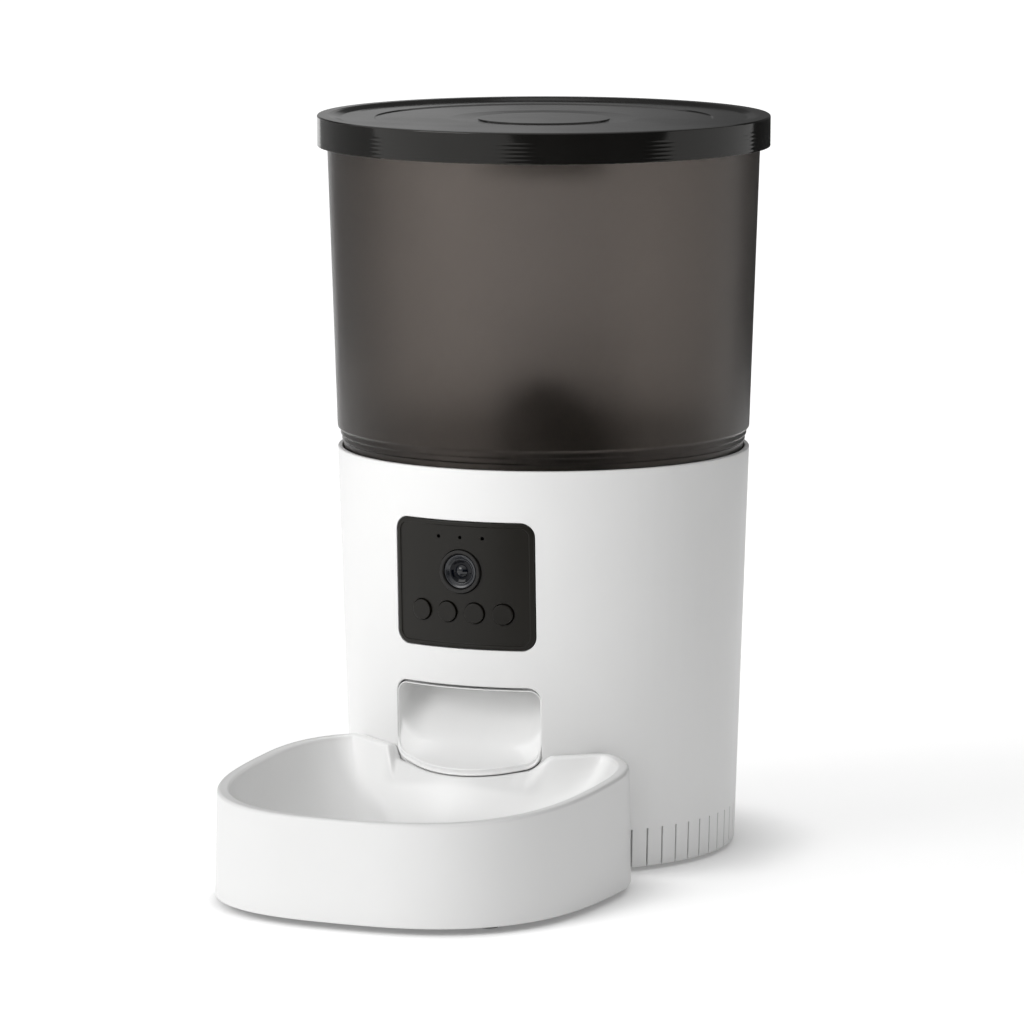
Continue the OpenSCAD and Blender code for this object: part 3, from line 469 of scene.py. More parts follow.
    for c in range(nf + 1):
        for i in range(nz):
            if c in (0, nf) or i in (0, nz - 1):
                pts.append((fa[c] * 88, zs[i]))
                ids.append(fgrid[c][i])
                second.append(fgrid[c][inner_at(i)])
            else:
                x = br(zs[i]) * math.sin(fa[c])
                near = False
                for (hw, z0, z1, rb, rt, sag), fr in windows:
                    g = fr + 1.6
                    if abs(x) < hw + g and z0 - g < zs[i] < z1 + g:
                        near = True
                if near:
                    continue
                pts.append((fa[c] * 88, zs[i]))
                ids.append(m.add([polar(fa[c], zs[i])])[0])
                second.append(m.add([polar(fa[c], zs[i], -wall)])[0])
    holes = []
    for (hw, z0, z1, rb, rt, sag), fr in windows:
        big = rrect(hw + fr, z0 - fr, z1 + fr, rb + fr, rt + fr, sag)
        edge = rrect(hw, z0, z1, rb, rt, sag)
        rows = [m.add([front(x, z) for x, z in big])]
        for w in (0.4, 0.8, 1.2, math.pi / 2):
            q = fr * (1 - math.sin(w))
            mid = rrect(hw + q, z0 - q, z1 + q, rb + q, rt + q, sag)
            rows.append(m.add([front(x, z, -fr * (1 - math.cos(w))) for x, z in mid]))
        rows.append(m.add([front(x, z, -wall) for x, z in edge]))
        for a, b in zip(rows, rows[1:]):
            m.band(a, b)
        start = len(pts)
        pts += [param(x, z) for x, z in big]
        ids += rows[0]
        second += rows[-1]
        loops.append(list(range(start, len(pts))))
        holes.append([param(x, z) for x, z in big])
    m.cdt(pts, ids, loops, lambda x, z: any(inside(l, x, z) for l in holes), second)
    return m.make("body_shell_skin", WHITE, "housing", ["body_shell"])


# ---------------------------------------------------------------- camera panel, keys and lens
LENS_Z, KEY_Z, DOT_Z = 134.0, 116.0, 149.0
KEYS = [-19.26, -6.42, 6.42, 19.26]


def camera_panel():
    m = Piece()

    def loop(o, d):
        return [front(x, z, d) for x, z in rrect(32.6 - o, 100.1 + o, 156.1 - o, max(6 - o, 1), max(6 - o, 1))]

    rows = [loop(0, -2.6), loop(0, -0.45)]
    for w in (0.4, 0.8, 1.2, math.pi / 2):
        rows.append(loop(0.75 * (1 - math.cos(w)), -0.45 + 0.75 * math.sin(w)))
    rows.append(loop(1.75, 0.3))
    for w in (0.5, 1.0, math.pi / 2):
        rows.append(loop(1.75 + 0.25 * math.sin(w), 0.3 - 0.25 * (1 - math.cos(w))))
    rows += [loop(2.05, -0.05), loop(2.2, -0.18), loop(2.4, -0.2)]
    ids_rows = m.stack(rows)
    back = m.add(loop(2.4, -2.6))
    m.band(ids_rows[0], back)

    edge = rrect(30.2, 102.5, 153.7, 3.6, 3.6)
    pts = list(edge)
    ids, second = list(ids_rows[-1]), list(back)
    loops = [list(range(len(edge)))]
    cuts = [(0, LENS_Z, 9.78, 0.15, 96)] + [(x, KEY_Z, 4.78, 0.1, 56) for x in KEYS] \
        + [(0, DOT_Z, 0.75, 0.12, 20), (-10.4, DOT_Z, 0.8, 0.12, 20), (10.4, DOT_Z, 0.8, 0.12, 20)]
    for cx, cz, r, fr, n in cuts:
        rows = []
        for w in (0, 0.5, 1.0, math.pi / 2):
            rows.append(m.add([front(x, z, -0.2 - fr * (1 - math.cos(w))) for x, z in ring2(cx, cz, r + fr * (1 - math.sin(w)), n)]))
        rows.append(m.add([front(x, z, -2.6) for x, z in ring2(cx, cz, r, n)]))
        for a, b in zip(rows, rows[1:]):
            m.band(a, b)
        start = len(pts)
        pts += ring2(cx, cz, r + fr, n)
        ids += rows[0]
        second += rows[-1]
        loops.append(list(range(start, len(pts))))
    for i in range(-9, 10):
        for j in range(17):
            x, z = i * 3.1, 104.0 + j * 3.0
            if abs(x) > 29 or z > 152.4 or any(math.hypot(x - c[0], z - c[1]) < c[2] + 1.2 for c in cuts):
                continue
            pts.append((x, z))
            ids.append(m.add([front(x, z, -0.2)])[0])
            second.append(m.add([front(x, z, -2.6)])[0])
    rims = [ring2(cx, cz, r + fr, n) for cx, cz, r, fr, n in cuts]
    m.cdt(pts, ids, loops, lambda x, z: (not inside(edge, x, z)) or any(inside(l, x, z) for l in rims), second)
    return m.make("camera_panel_skin", CHARCOAL, "housing", ["camera_panel"], sharp=60)


def button(i):
    m = Piece()
    x0, r, n = KEYS[i], 4.45, 64
    rows = [(1.9, -4.6), (5.2, -4.6), (5.2, -3.8), (r, -3.8), (r, 0.75)]
    rows += [(r - 0.25 * (1 - math.cos(w)), 0.75 + 0.25 * math.sin(w)) for w in (0.4, 0.8, 1.2, math.pi / 2)]
    rows += [(r - 0.25 - 3.9 * k / 6, 1.0 - 0.06 * math.sin(math.pi / 2 * k / 6)) for k in range(1, 7)]
    stem = [(x, -81.0, z) for x, z in ring2(x0, KEY_Z, 1.9, n)]
    ids = m.stack([stem] + [[front(x, z, d) for x, z in ring2(x0, KEY_Z, a, n)] for a, d in rows])
    m.fan(ids[-1], front(x0, KEY_Z, rows[-1][1]))
    m.f.append(tuple(reversed(ids[0])))
    return m.make("button_%d_cap" % (i + 1), KEYCAP, "button_%d" % (i + 1), ["button_%d" % (i + 1)], sharp=60)


def lens_pieces():
    at = lambda a, b, h: (a, -h, LENS_Z + b)
    ring = Piece()
    ring.lathe(rounded([(7.75, 78, 0), (9.5, 78, 0.2), (9.5, 84.9, 0), (11.2, 84.9, 0.2), (11.2, 86.1, 0.2), (9.5, 86.1, 0),
                        (9.45, 91.0, 0.3), (8.15, 91.0, 0.25), (7.75, 90.5, 0.15)], 5), 144, True, at)
    ring.make("lens_ring_turned", LENSRING, "housing", ["lens_ring"], sharp=40)
    barrel = Piece()
    barrel.lathe(rounded([(2.0, 78, 0), (7.7, 78, 0.2), (7.7, 89.3, 0.1), (7.5, 89.9, 0.15), (7.2, 90.2, 0.2), (6.3, 89.9, 0.5), (5.5, 89.15, 0.3), (5.2, 89.1, 0.1),
                          (5.12, 88.7, 0.1), (5.1, 88.2, 0.1), (4.7, 88.0, 0.1), (4.5, 87.4, 0.1), (3.6, 87.2, 0.1), (3.4, 86.6, 0.1), (2.0, 86.3, 0.1)], 5), 144, True, at)
    barrel.make("lens_barrel_turned", LENSCONE, "housing", ["lens_barrel"], sharp=35)
    glass = Piece()
    glass.lathe([(0.0, 88.5), (3.1, 88.5), (3.6, 88.56), (4.2, 88.74), (4.7, 89.0), (4.9, 89.06), (5.08, 88.98), (5.08, 88.25), (0.0, 88.1)], 96, False, at)
    glass.make("lens_glass_dish", GLASS, "housing", ["lens_glass"], sharp=60)
    dome = Piece()
    dome.lathe([(4.2 * math.sin(w), 85.6 + 4.2 * math.cos(w)) for w in (0, 0.1, 0.2, 0.3, 0.4, 0.5, 0.6, 0.7, 0.8)] + [(3.02, 88.4), (0.0, 88.3)], 96, False, at)
    dome.make("lens_front_element", DOME, "housing", [], sharp=60)


# ---------------------------------------------------------------- discharge chute
def chute():
    m = Piece()

    def low(z):
        return smooth((60 - z) / 9)

    def lip(x, z):
        """How far the mouth's edge stands out: behind the shell at the top and sides, a rolled lip below."""
        out = 54 + math.sqrt(max(1600 - x * x, 0)) - math.sqrt(br(46) ** 2 - x * x)
        return lerp(-0.75, 0.25 + math.sqrt(max(out, 0) ** 2 + 0.4), low(z))

    def loop(o, d, edge, moved, narrow):
        """One line round the mouth: moved(o) is edge's outline taken in by o, in full at the lip and hardly at all in the window."""
        out = []
        for (x0, z0), (x1, z1) in zip(edge, moved):
            q = low(z0)
            x, z = lerp(x0, x1, lerp(0.15, 1, q)), lerp(z0, z1, lerp(0.15, 1, q))
            out.append(front(x * lerp(1, narrow, q), z, d * lerp(0.12, 1, q) + lip(x, z)))
        return out

    def outer(o, d):
        return loop(o, d, rrect(34.16, 44.8, 82.4, 6.0, 5.0, 4.0), rrect(34.16 - o, 44.8 + o, 82.4 - o, 6.0 - o, 5.0 - o, 4.0), 0.9992)

    def inner(o, d):
        return loop(o, d, rrect(33.8, 48.1, 82.05, 5.4, 4.7, 3.6), rrect(33.8 + o, 48.1 - o, 82.05 + o, 5.4 + o, 4.7 + o, 3.6), 0.972)

    rows = [[front(x, z, -4.5) for x, z in rrect(34.16, 46.5, 82.4, 6.0, 5.0, 4.0)]]
    for o, d in ((0, -0.9), (0, -0.45), (0.06, -0.1), (0.2, 0.16), (0.42, 0.28), (0.66, 0.26), (0.86, 0.14), (1.02, 0.03), (1.25, 0.0)):
        rows.append(outer(o, d))
    for o, d in ((1.3, 0.0), (1.1, 0.04), (0.92, 0.17), (0.72, 0.24), (0.5, 0.2)):
        rows.append(inner(o, d))
    for w in (0.35, 0.7, 1.05, math.pi / 2):
        rows.append(inner(0.5 * (1 - math.sin(w)), 0.2 - 0.8 * (1 - math.cos(w))))

    def duct(t, o):
        """Cross-section of the chute behind the mouth, o outside the inner wall."""
        floor = [(-78.5, 56.4), (-72.5, 63.2), (-65, 72.0), (-57, 83.5), (-47, 101), (-37, 121), (-27.5, 139.8)]
        roof = [(-78.5, 84.3), (-74, 86.0), (-68.5, 89.6), (-63, 95.0), (-58, 103), (-56, 119), (-55.6, 139.8)]
        u = t * (len(floor) - 1)
        i = min(int(u), len(floor) - 2)
        w = u - i
        f = Vector(floor[i]).lerp(Vector(floor[i + 1]), w)
        r = Vector(roof[i]).lerp(Vector(roof[i + 1]), w)
        up = (r - f).normalized()
        f, r = f - up * o, r + up * o
        tall = (r - f).length
        rb = lerp(12.0, 6.0, smooth(t * 1.2)) + o
        rt = lerp(5.6, 5.0, t) + o
        out = []
        for x, z in rrect(lerp(33.6, 32.4, t) + o, 0, tall, min(rb, tall * 0.45), min(rt, tall * 0.4), 2.0 * (1 - t)):
            p = f + up * z
            out.append((x, p.x, p.y))
        return out

    mouth = rows[-1]
    first = duct(0.0, 0)
    for k in range(1, 8):
        w = k / 8
        mid = []
        for a, b in zip(mouth, first):
            c = (lerp(a[0], b[0], 0.5), lerp(a[1], b[1], 0.6), lerp(a[2], b[2], 0.22))
            mid.append(tuple(a[i] * (1 - w) ** 2 + 2 * c[i] * w * (1 - w) + b[i] * w * w for i in range(3)))
        rows.append(mid)
    rows += [duct(k / 24, 0) for k in range(25)]
    rows += [duct(k / 12, 1.7) for k in range(12, -1, -1)]
    ids = m.stack(rows)
    m.band(ids[-1], ids[0])
    return m.make("chute_scoop", CHUTE_PAINTED_LIGHTER, "housing", ["discharge_chute"], sharp=70)


# ---------------------------------------------------------------- bowl
def bowl():
    m = Piece()
    n_exp, c_y, rb = 2.7, -119.0, br(40) + 0.8

    def outline(t, grow):
        ca, sa = math.cos(t), math.sin(t)
        a = 84.2 - grow
        b = (98.0 - grow) if sa < 0 else 65.5
        rs = (abs(ca / a) ** n_exp + abs(sa / b) ** n_exp) ** (-1 / n_exp)
        d = (c_y * sa) ** 2 - (c_y * c_y - rb * rb)
        s = -c_y * sa - math.sqrt(d) if d >= 0 and sa > 0 else 1e3
        r = min(rs, s)
        return Vector((r * ca, c_y + r * sa))

    N = 720

    def even(pts, n):
        """Closed path resampled at even spacing, from its first point."""
        q = pts + [pts[0]]
        acc = [0.0]
        for a, b in zip(q, q[1:]):
            acc.append(acc[-1] + (b - a).length)
        out, j = [], 0
        for k in range(n):
            s = acc[-1] * k / n
            while acc[j + 1] < s:
                j += 1
            out.append(q[j].lerp(q[j + 1], (s - acc[j]) / max(acc[j + 1] - acc[j], 1e-9)))
        return out

    def soft(grow):
        """Outline with the two back corners rounded."""
        raw = even([outline(-math.pi / 2 + 2 * math.pi * k / 5760, grow) for k in range(5760)], N)
        turn = []
        for k in range(N):
            a, b, c = raw[k - 2], raw[k], raw[(k + 2) % N]
            turn.append(abs((b - a).angle_signed(c - b, 0.0)))
        corner = [k for k in range(N) if turn[k] > 0.5 and turn[k] >= max(turn[k - 1], turn[(k + 1) % N])]
        out = []
        for k in range(N):
            gap = min([min((k - c) % N, (c - k) % N) for c in corner] or [N])
            wid = 13.0 * smooth((44 - gap) / 34)
            if wid < 0.3:
                out.append(raw[k])
                continue
            acc, tot = Vector((0, 0)), 0.0
            for j in range(-36, 37):
                g = math.exp(-0.5 * (j / (wid * 0.62)) ** 2)
                acc += raw[(k + j) % N] * g
                tot += g
            out.append(acc / tot)
        return out

    base = soft(0.0)
    rim_line = soft(1.0)

    def inward(path):
        out = []
        for k in range(N):
            t = (path[(k + 1) % N] - path[k - 1]).normalized()
            out.append(Vector((-t.y, t.x)))
        return out

    nb, nr = inward(base), inward(rim_line)
    # keep the normals pointing to the bowl's middle
    sgn = 1 if nr[0].dot(Vector((0, -148)) - rim_line[0]) > 0 else -1
    ledge = 40.6
    EASY_MAX = 0.25

    def low_at(p):
        """1 where the rim is cut down to the ledge under the chute, 0 elsewhere."""
        a = math.degrees(math.atan2(p.x, -p.y))
        if p.length > rb + 14:
            return 0.0
        return smooth((26.5 - a) / 7.0) if a > 0 else smooth((23.8 + a) / 2.7)

    H = [47 + 0.052 * (p.y + 217) for p in rim_line]
    LOW = [low_at(p) for p in rim_line]

    def place(path, norm, k, o, z):
        return (path[k].x + sgn * norm[k].x * o, path[k].y + sgn * norm[k].y * o, z)

    mid = Vector((0, -148))
    table = [(0.0, 0.985), (0.03, 0.84), (0.08, 0.64), (0.15, 0.44), (0.24, 0.27), (0.35, 0.14), (0.48, 0.06), (0.64, 0.015), (0.8, 0.0), (0.97, 0.0)]

    def at(f):
        for (f0, g0), (f1, g1) in zip(table, table[1:]):
            if f <= f1:
                i = table.index((f0, g0))
                fm, gm = table[max(i - 1, 0)]
                fp, gp = table[min(i + 2, len(table) - 1)]
                t = (f - f0) / (f1 - f0)
                m0 = (g1 - gm) / max(f1 - fm, 1e-6) * (f1 - f0)
                m1 = (gp - g0) / max(fp - f0, 1e-6) * (f1 - f0)
                return (2 * t ** 3 - 3 * t * t + 1) * g0 + (t ** 3 - 2 * t * t + t) * m0 + (3 * t * t - 2 * t ** 3) * g1 + (t ** 3 - t * t) * m1
        return 0.0

    steps = [0, 0.01, 0.02, 0.03, 0.045, 0.06, 0.08, 0.1, 0.125, 0.15, 0.18, 0.21, 0.24, 0.275, 0.31, 0.35, 0.39, 0.43, 0.48, 0.53, 0.58, 0.64, 0.7, 0.8, 0.9, 0.97]
    lead_o, lead_d = 4.1 + 1.5 * math.sin(1.4) + 0.25, 1.5 * (1 - math.cos(1.4)) + 0.9

    lead = [Vector(place(rim_line, nr, k, lead_o, 0.0)[:2]) for k in range(N)]
    ends = [max(range(N), key=lambda k: rim_line[k].y + s * 0.9 * rim_line[k].x) for s in (-1, 1)]

    def eased(k):
        """The basin's outline lower down: its two back corners run out into a broad curve."""
        gap = min(min((k - c) % N, (c - k) % N) for c in ends)
        wid = 40.0 * smooth((150 - gap) / 120)
        if wid < 0.5:
            return lead[k]
        acc, tot = Vector((0, 0)), 0.0
        for j in range(-96, 97, 2):
            g = math.exp(-0.5 * (j / wid) ** 2)
            acc += lead[(k + j) % N] * g
            tot += g
        return acc / tot

    basin = [eased(k) for k in range(N)]

    def easy(k):
        """How far the wall lies back: upright at the sides and by the ledge, gentler towards the two back corners."""
        a = abs(math.degrees(math.atan2(rim_line[k].x, -rim_line[k].y)))
        gap = min(min((k - c) % N, (c - k) % N) for c in ends)
        return smooth((a - 23.0) / 17.0) * (1.0 if rim_line[k].length < rb + 8 else smooth(1 - gap / 60))

    EASY = [easy(k) for k in range(N)]

    def cavity(k, f):
        q = mid + (lead[k].lerp(basin[k], smooth(f / 0.26)) - mid) * (1 - f)
        g = lerp(at(f) / 0.985, max(0.0, 1 - f / 0.8) ** 1.35, EASY_MAX * EASY[k])
        return (q.x, q.y, 10 + (H[k] - lead_d - 10) * g)

    def outside(k, top):
        """The wall's outer side and the flat of its edge, up to the height top."""
        out = [place(base, nb, k, o, z) for o, z in ((3.4, 3.0), (0.7, 3.0), (0.2, 3.2), (0.0, 3.7))]
        for f in (0.15, 0.35, 0.6, 0.85):
            z = lerp(3.7, top - 1.5, f)
            q = base[k].lerp(rim_line[k], (z - 3) / (H[k] - 3))
            out.append((q.x, q.y, z))
        for w in (0, 0.4, 0.8, 1.2, math.pi / 2):
            out.append(place(rim_line, nr, k, 1.5 * (1 - math.cos(w)), top - 1.5 + 1.5 * math.sin(w)))
        return out + [place(rim_line, nr, k, 2.6, top)]

    def high_line(k):
        out = outside(k, H[k])
        for w in (0, 0.3, 0.6, 0.9, 1.2, 1.4):
            out.append(place(rim_line, nr, k, 4.1 + 1.5 * math.sin(w), H[k] - 1.5 * (1 - math.cos(w))))
        return out + [cavity(k, f) for f in steps]

    def under_lip(p):
        """How far the chute's lip stands out above p, and the height just below it."""
        x = min(abs(p.x), 32.0)
        out = 54 + math.sqrt(1600 - x * x) - math.sqrt(br(46) ** 2 - x * x)
        return 0.25 + math.sqrt(max(out, 0) ** 2 + 0.4), 44.4 + 4.0 * (x / 34.16) ** 2

    def low_line(k):
        """The same line of points over the ledge: flat below the chute's lip, an apron in front of it, then the cavity as it is elsewhere."""
        stand, top = under_lip(rim_line[k])
        out = outside(k, top)
        wall = [Vector(cavity(k, f / 400)) for f in range(0, 161)]
        i = next(j for j, q in enumerate(wall) if q.z <= ledge)
        t = (wall[i - 1].z - ledge) / (wall[i - 1].z - wall[i].z)
        edge = wall[i - 1].lerp(wall[i], t)
        flat = Vector(out[-1])
        crest = Vector(place(rim_line, nr, k, max(stand + 1.0, 3.6), top))
        a = crest + (flat - crest).normalized() * 0.9
        c = crest.lerp(edge, 0.5)
        j = i
        while (wall[j] - edge).length < 3.2:
            j += 1
        b = wall[j]
        keep = [f for f in steps if f > j / 400]
        many = 6 + len(steps) - len(keep) - 6
        out += [tuple(flat.lerp(a, (n + 1) / 2)) for n in range(2)]
        for p, q, r, n in ((a, crest, c, 4), (c, edge, b, many)):
            for w in (i / n for i in range(1, n + 1)):
                out.append(tuple(p * (1 - w) ** 2 + q * 2 * w * (1 - w) + r * w * w))
        return out + [cavity(k, f) for f in keep]

    lines = []
    for k in range(N):
        if LOW[k] <= 0:
            lines.append(high_line(k))
        elif LOW[k] >= 1:
            lines.append(low_line(k))
        else:
            lines.append([tuple(Vector(a).lerp(Vector(b), LOW[k])) for a, b in zip(high_line(k), low_line(k))])
    ids = m.stack([[lines[k][r] for k in range(N)] for r in range(len(lines[0]))])
    m.fan(ids[-1], (0, -148, 10))
    # underside: hollow below the cavity
    under = []
    for f in reversed(steps[1:]):
        row = []
        for k in range(N):
            x, y, z = cavity(k, f)
            row.append((x, y, min(max(z - 2.6, 5.0), lerp(100.0, ledge - 2.6, min(1.0, LOW[k] * 50)))))
        under.append(row)
    ids_u = m.stack(under)
    m.fan(ids_u[0], (0, -148, 7.4))
    skirt = m.add([place(base, nb, k, 3.4, 5.0) for k in range(N)])
    m.band(ids_u[-1], skirt)
    m.band(skirt, ids[0])
    o = m.make("bowl_moulding", BOWL, "bowl", ["bowl"], sharp=75)

    def painted_light_and_shade(co):
        """Painted light and shade: 0 on the outer wall, painted darker, more on the basin and most towards its back,
        painted lighter, and less on the apron under the chute's lip, painted shade.
        """
        x, y = co.x / MM, co.y / MM - AXIS_Y
        rho = (abs(x / 84.2) ** n_exp + abs((y - c_y) / (98.0 if y < c_y else 65.5)) ** n_exp) ** (1 / n_exp)
        apron = smooth((rb + 9.2 - math.hypot(x, y)) / 1.3) * smooth((25 - abs(math.degrees(math.atan2(x, -y)))) / 6)
        return smooth((0.972 - rho) / 0.02) * lerp(0.33, 1.0, smooth((rb + 17 - math.hypot(x, y)) / 9)) * lerp(1.0, 0.55, apron)

    # the basin attribute holds the painted light and shade for the bowl's colour
    o.data.attributes.new("basin", "FLOAT", "POINT").data.foreach_set("value", [painted_light_and_shade(v.co) for v in o.data.vertices])
    return o


# ---------------------------------------------------------------- hopper and lid
def hopper():
    m = Piece()
    hr = lambda z: 91.6 + 4.2 * (z - 187.5) / 125.5
    path = [(hr(320.5) - 2.3, 320.5, 0.5), (hr(320.5), 320.5, 0.5)]
    path += [(hr(z), z, 0) for z in (300, 280, 260, 240, 220, 204)]
    path += [(91.6, 187.4, 1.3), (90.25, 186.7, 0.3), (90.35, 184.6, 0.5), (89.6, 184.0, 0.3), (89.7, 182.0, 0.5), (88.9, 181.4, 0.3),
             (88.5, 168, 0.5), (86.5, 168, 0.5), (86.8, 181.2, 1.0), (57.8, 165.6, 1.0), (54.6, 165.6, 0.4), (54.6, 167.6, 0.4), (57, 167.8, 1.5),
             (87.4, 185, 3.0), (88.9, 187.6, 1.5)]
    path += [(hr(z) - 2.3, z, 0) for z in (204, 220, 240, 260, 280, 300)]
    m.lathe(rounded(path, 5), 224)
    return m.make("hopper_vessel", SMOKE, "hopper", ["hopper"], sharp=70)


def lid():
    m = Piece()
    T, R = 326.0, 100.35
    path = [(28.9, T - 1.7, 0.15), (29.4, T - 2.12, 0.2), (31.0, T - 2.17, 0.7), (41.6, T - 1.7, 1.2), (74.4, T - 1.7, 0.25),
            (75.0, T - 1.3, 0.3), (90.0, T - 1.3, 2.0), (93.6, T - 0.3, 1.2), (95.4, T, 1.0), (R, T, 0.7), (R, T - 4.2, 0)]
    # shallow waves round the lower part of the skirt
    for i in range(1, 73):
        h = 8.8 * i / 72
        path.append((R - 0.05 * h / 8.8 - 0.013 * (1 - math.cos(2 * math.pi * h / 1.76)), T - 4.2 - h, 0))
    path += [(R - 0.08, 312.5, 0.06), (98, 312.5, 0.4), (98.2, T - 3.6, 0.8), (92, T - 3.6, 0.6), (91.6, T - 12, 0.4), (89.8, T - 12, 0.4), (89.6, T - 3.6, 0.6)]
    rows = rounded(path, 5)
    m.lathe([(0.0, T - 1.7), (12.0, T - 1.7)] + rows + [(40.0, T - 3.6), (0.0, T - 3.6)], 256, False)
    return m.make("lid_moulding", BLACK, "lid", ["lid"], sharp=70)


body_shell()
camera_panel()
for key in range(4):
    button(key)
lens_pieces()
chute()
bowl()
hopper()
lid()


# ---------------------------------------------------------------- studio
scene = bpy.context.scene
floor_mesh = bpy.data.meshes.new("studio_floor")
grid = [-30.0, -10.0, -3.0, -1.0, -0.65] + [-0.45 + 0.006 * i for i in range(151)] + [0.65, 1.0, 3.0, 10.0, 30.0]
many = len(grid)
floor_mesh.from_pydata([(x, y + AXIS_Y * MM, 0) for y in grid for x in grid], [],
                       [(j * many + i, j * many + i + 1, (j + 1) * many + i + 1, (j + 1) * many + i) for j in range(many - 1) for i in range(many - 1)])
floor = bpy.data.objects.new("studio_floor", floor_mesh)
scene.collection.objects.link(floor)
floor_mat = surface("studio_floor", (0.88, 0.88, 0.88), 0.7, tone=0.004, grain=300, bump=0.0, spec=0.1, blotch=1.5)


def floor_glow_painted_shadow(x, y):
    """The sweep glows from below as well, dimmed round the feeder's footprint as a painted contact shadow that widens
    into a painted soft shadow on the right; in metres round the body's axis.
    """
    x, y = x / MM, y / MM
    u, v = x / 84.0, (y + 119.0) / (97.5 if y < -119 else 65.5)
    gap = min(math.hypot(x, y) - br(3), 88 * ((abs(u) ** 2.7 + abs(v) ** 2.7) ** (1 / 2.7) - 1))
    # painted shadow: the glow falls to 0.3 of its strength at the footprint, over 12 mm on the left and up to 50 mm on
    # the right
    return 0.44 * lerp(0.3, 1, smooth((gap + 2) / lerp(12, 50, smooth((0.914 * x + 0.405 * y) / 110))))


floor_mesh.attributes.new("lit", "FLOAT", "POINT").data.foreach_set("value", [floor_glow_painted_shadow(x, y) for y in grid for x in grid])
take = floor_mat.node_tree.nodes.new("ShaderNodeAttribute")
take.attribute_name = "lit"
floor_mat.node_tree.nodes["Principled BSDF"].inputs["Emission Color"].default_value = (1, 1, 1, 1)
floor_mat.node_tree.links.new(take.outputs["Fac"], floor_mat.node_tree.nodes["Principled BSDF"].inputs["Emission Strength"])
floor_mesh.materials.append(floor_mat)

# soft room: bright overhead, lighter on the left than on the right
world = bpy.data.worlds.new("studio")
scene.world = world
world.use_nodes = True
wt = world.node_tree
over = wt.nodes["Background"]
coord = wt.nodes.new("ShaderNodeTexCoord")
split = wt.nodes.new("ShaderNodeSeparateXYZ")
wt.links.new(coord.outputs["Generated"], split.inputs["Vector"])
r1 = wt.nodes.new("ShaderNodeValToRGB")
r1.color_ramp.interpolation = "EASE"
r1.color_ramp.elements[0].color = (0, 0, 0, 1)
r1.color_ramp.elements[1].color = (1, 1, 1, 1)
wt.links.new(split.outputs["Z"], r1.inputs["Fac"])
wt.links.new(r1.outputs["Color"], over.inputs["Color"])
over.inputs["Strength"].default_value = 0.75
side = wt.nodes.new("ShaderNodeBackground")
dot = wt.nodes.new("ShaderNodeVectorMath")
dot.operation = "DOT_PRODUCT"
dot.inputs[1].default_value = (-0.657, -0.754, 0.0)
wt.links.new(coord.outputs["Generated"], dot.inputs[0])
fit = wt.nodes.new("ShaderNodeMapRange")
fit.inputs["From Min"].default_value = -1.0
fit.inputs["From Max"].default_value = 1.0
wt.links.new(dot.outputs["Value"], fit.inputs["Value"])
r2 = wt.nodes.new("ShaderNodeValToRGB")
r2.color_ramp.elements[0].color = (0.06, 0.06, 0.06, 1)
r2.color_ramp.elements[1].color = (0.55, 0.55, 0.55, 1)
half = r2.color_ramp.elements.new(0.5)
half.color = (0.22, 0.22, 0.22, 1)
wt.links.new(fit.outputs["Result"], r2.inputs["Fac"])
wt.links.new(r2.outputs["Color"], side.inputs["Color"])
side.inputs["Strength"].default_value = 0.9
both = wt.nodes.new("ShaderNodeAddShader")
wt.links.new(over.outputs["Background"], both.inputs[0])
wt.links.new(side.outputs["Background"], both.inputs[1])
wt.links.new(both.outputs["Shader"], wt.nodes["World Output"].inputs["Surface"])


def flag(name, a0, a1, lean0, lean1, dist, z0, z1, tone, gloss=True, glow=()):
    """A curved studio card, out of the picture: it shows in reflections, or else only takes away fill light. Angles are from the camera's direction to its right; glow lists (angle, strength)."""
    n, rows = 64, 6
    pts, faces, lit = [], [], []
    for j in range(rows + 1):
        w = j / rows
        for k in range(n + 1):
            deg = lerp(a0 + lean0 * w, a1 + lean1 * w, k / n)
            lit.append(glow[0][1] if glow else 0.0)
            for (g0, e0), (g1, e1) in zip(glow, glow[1:]):
                lit[-1] = lerp(e0, e1, (deg - g0) / (g1 - g0)) if g0 < deg <= g1 else e1 if deg > g1 else lit[-1]
            a = math.radians(deg)
            d = (0.4054 * math.cos(a) + 0.9141 * math.sin(a), -0.9141 * math.cos(a) + 0.4054 * math.sin(a))
            pts.append((d[0] * dist, AXIS_Y * MM + d[1] * dist, lerp(z0, z1, w)))
    for j in range(rows):
        for k in range(n):
            q = j * (n + 1) + k
            faces.append((q, q + 1, q + n + 2, q + n + 1))
    mesh = bpy.data.meshes.new(name)
    mesh.from_pydata(pts, [], faces)
    mat = surface(name, (tone, tone, tone), 0.9, spec=0.0)
    if glow:
        mesh.attributes.new("lit", "FLOAT", "POINT").data.foreach_set("value", lit)
        take = mat.node_tree.nodes.new("ShaderNodeAttribute")
        take.attribute_name = "lit"
        out = mat.node_tree.nodes["Principled BSDF"]
        out.inputs["Emission Color"].default_value = (1, 1, 1, 1)
        mat.node_tree.links.new(take.outputs["Fac"], out.inputs["Emission Strength"])
    mesh.materials.append(mat)
    o = bpy.data.objects.new(name, mesh)
    scene.collection.objects.link(o)
    o.visible_camera = False
    o.visible_diffuse = not gloss
    o.visible_glossy = gloss
    o.visible_transmission = False
    o.visible_shadow = False


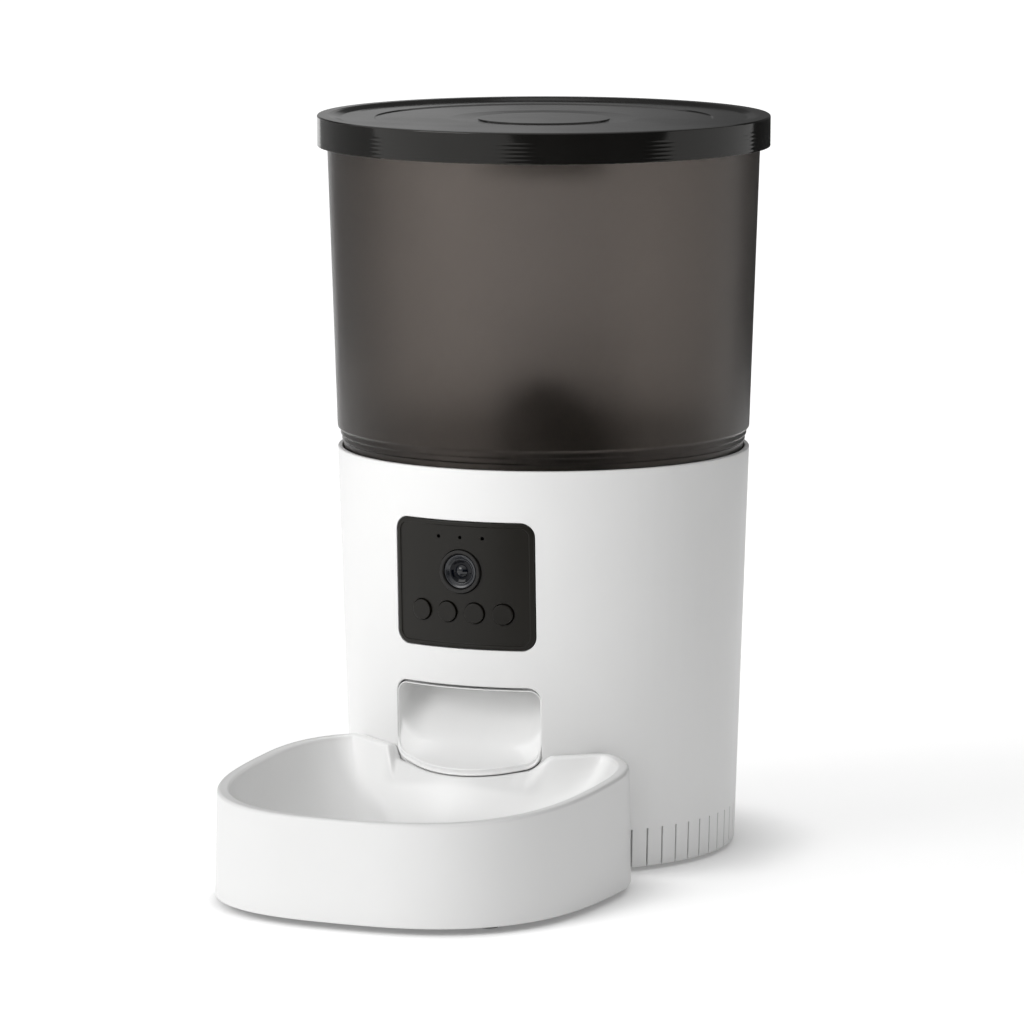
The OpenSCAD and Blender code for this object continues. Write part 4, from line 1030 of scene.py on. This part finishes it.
flag("card_front", -2, 48, -30, 30, 1.3, 0.0, 0.5, 0.02)
flag("card_skirt_left", -110, 0, 0, 0, 1.32, 0.0, 0.5, 0.0, glow=((-110, 1.05), (-85, 1.0), (-50, 0.8), (0, 0.7)))
flag("card_skirt_right", 40, 140, 0, 0, 1.32, 0.0, 0.5, 0.0, glow=((40, 0.8), (140, 0.7)))
flag("card_left", -154, -84, 0, -18, 1.3, 0.0, 0.5, 0.30)
flag("card_right", 120, 173, 18, 0, 1.3, 0.0, 0.5, 0.03)
flag("card_panel", -22, 40, 0, 0, 0.45, 0.05, 0.16, 0.02)
flag("card_back", 110, 240, 0, 0, 0.5, 0.30, 0.41, 0.0, glow=((110, 0.06), (168, 0.085), (172, 0.15), (180, 0.25), (188, 0.345), (194, 0.38), (240, 0.38)))
flag("card_back_top", 110, 240, 0, 0, 0.5, 0.41, 0.62, 0.0, glow=((110, 0.06), (240, 0.06)))
flag("card_fill", 38, 120, 0, 0, 0.5, 0.0, 0.5, 0.02, gloss=False)
flag("card_fill_left", -150, -108, 0, 0, 0.5, 0.16, 0.5, 0.02, gloss=False)


def area(name, at, aim, size, power, size_y=None):
    light = bpy.data.lights.new(name, "AREA")
    light.energy = power
    light.size = size
    if size_y:
        light.shape = "RECTANGLE"
        light.size_y = size_y
    o = bpy.data.objects.new(name, light)
    o.location = at
    o.rotation_euler = (Vector(aim) - Vector(at)).to_track_quat("-Z", "Y").to_euler()
    scene.collection.objects.link(o)
    return o


area("key", (-1.15, -1.98, 0.95), (0, 0, 0.16), 1.3, 21.0)

cam_data = bpy.data.cameras.new("photo_camera")
cam_data.sensor_width = 36
cam_data.lens = 219.24
cam_data.shift_x = -0.0006
cam_data.shift_y = 0.0005
cam = bpy.data.objects.new("photo_camera", cam_data)
cam.location = (1.1040, -2.4652, 0.5509)
cam.rotation_euler = Vector((-0.40113, 0.90450, -0.14479)).to_track_quat("-Z", "Y").to_euler()
scene.collection.objects.link(cam)
scene.camera = cam
scene.view_settings.view_transform = "Standard"
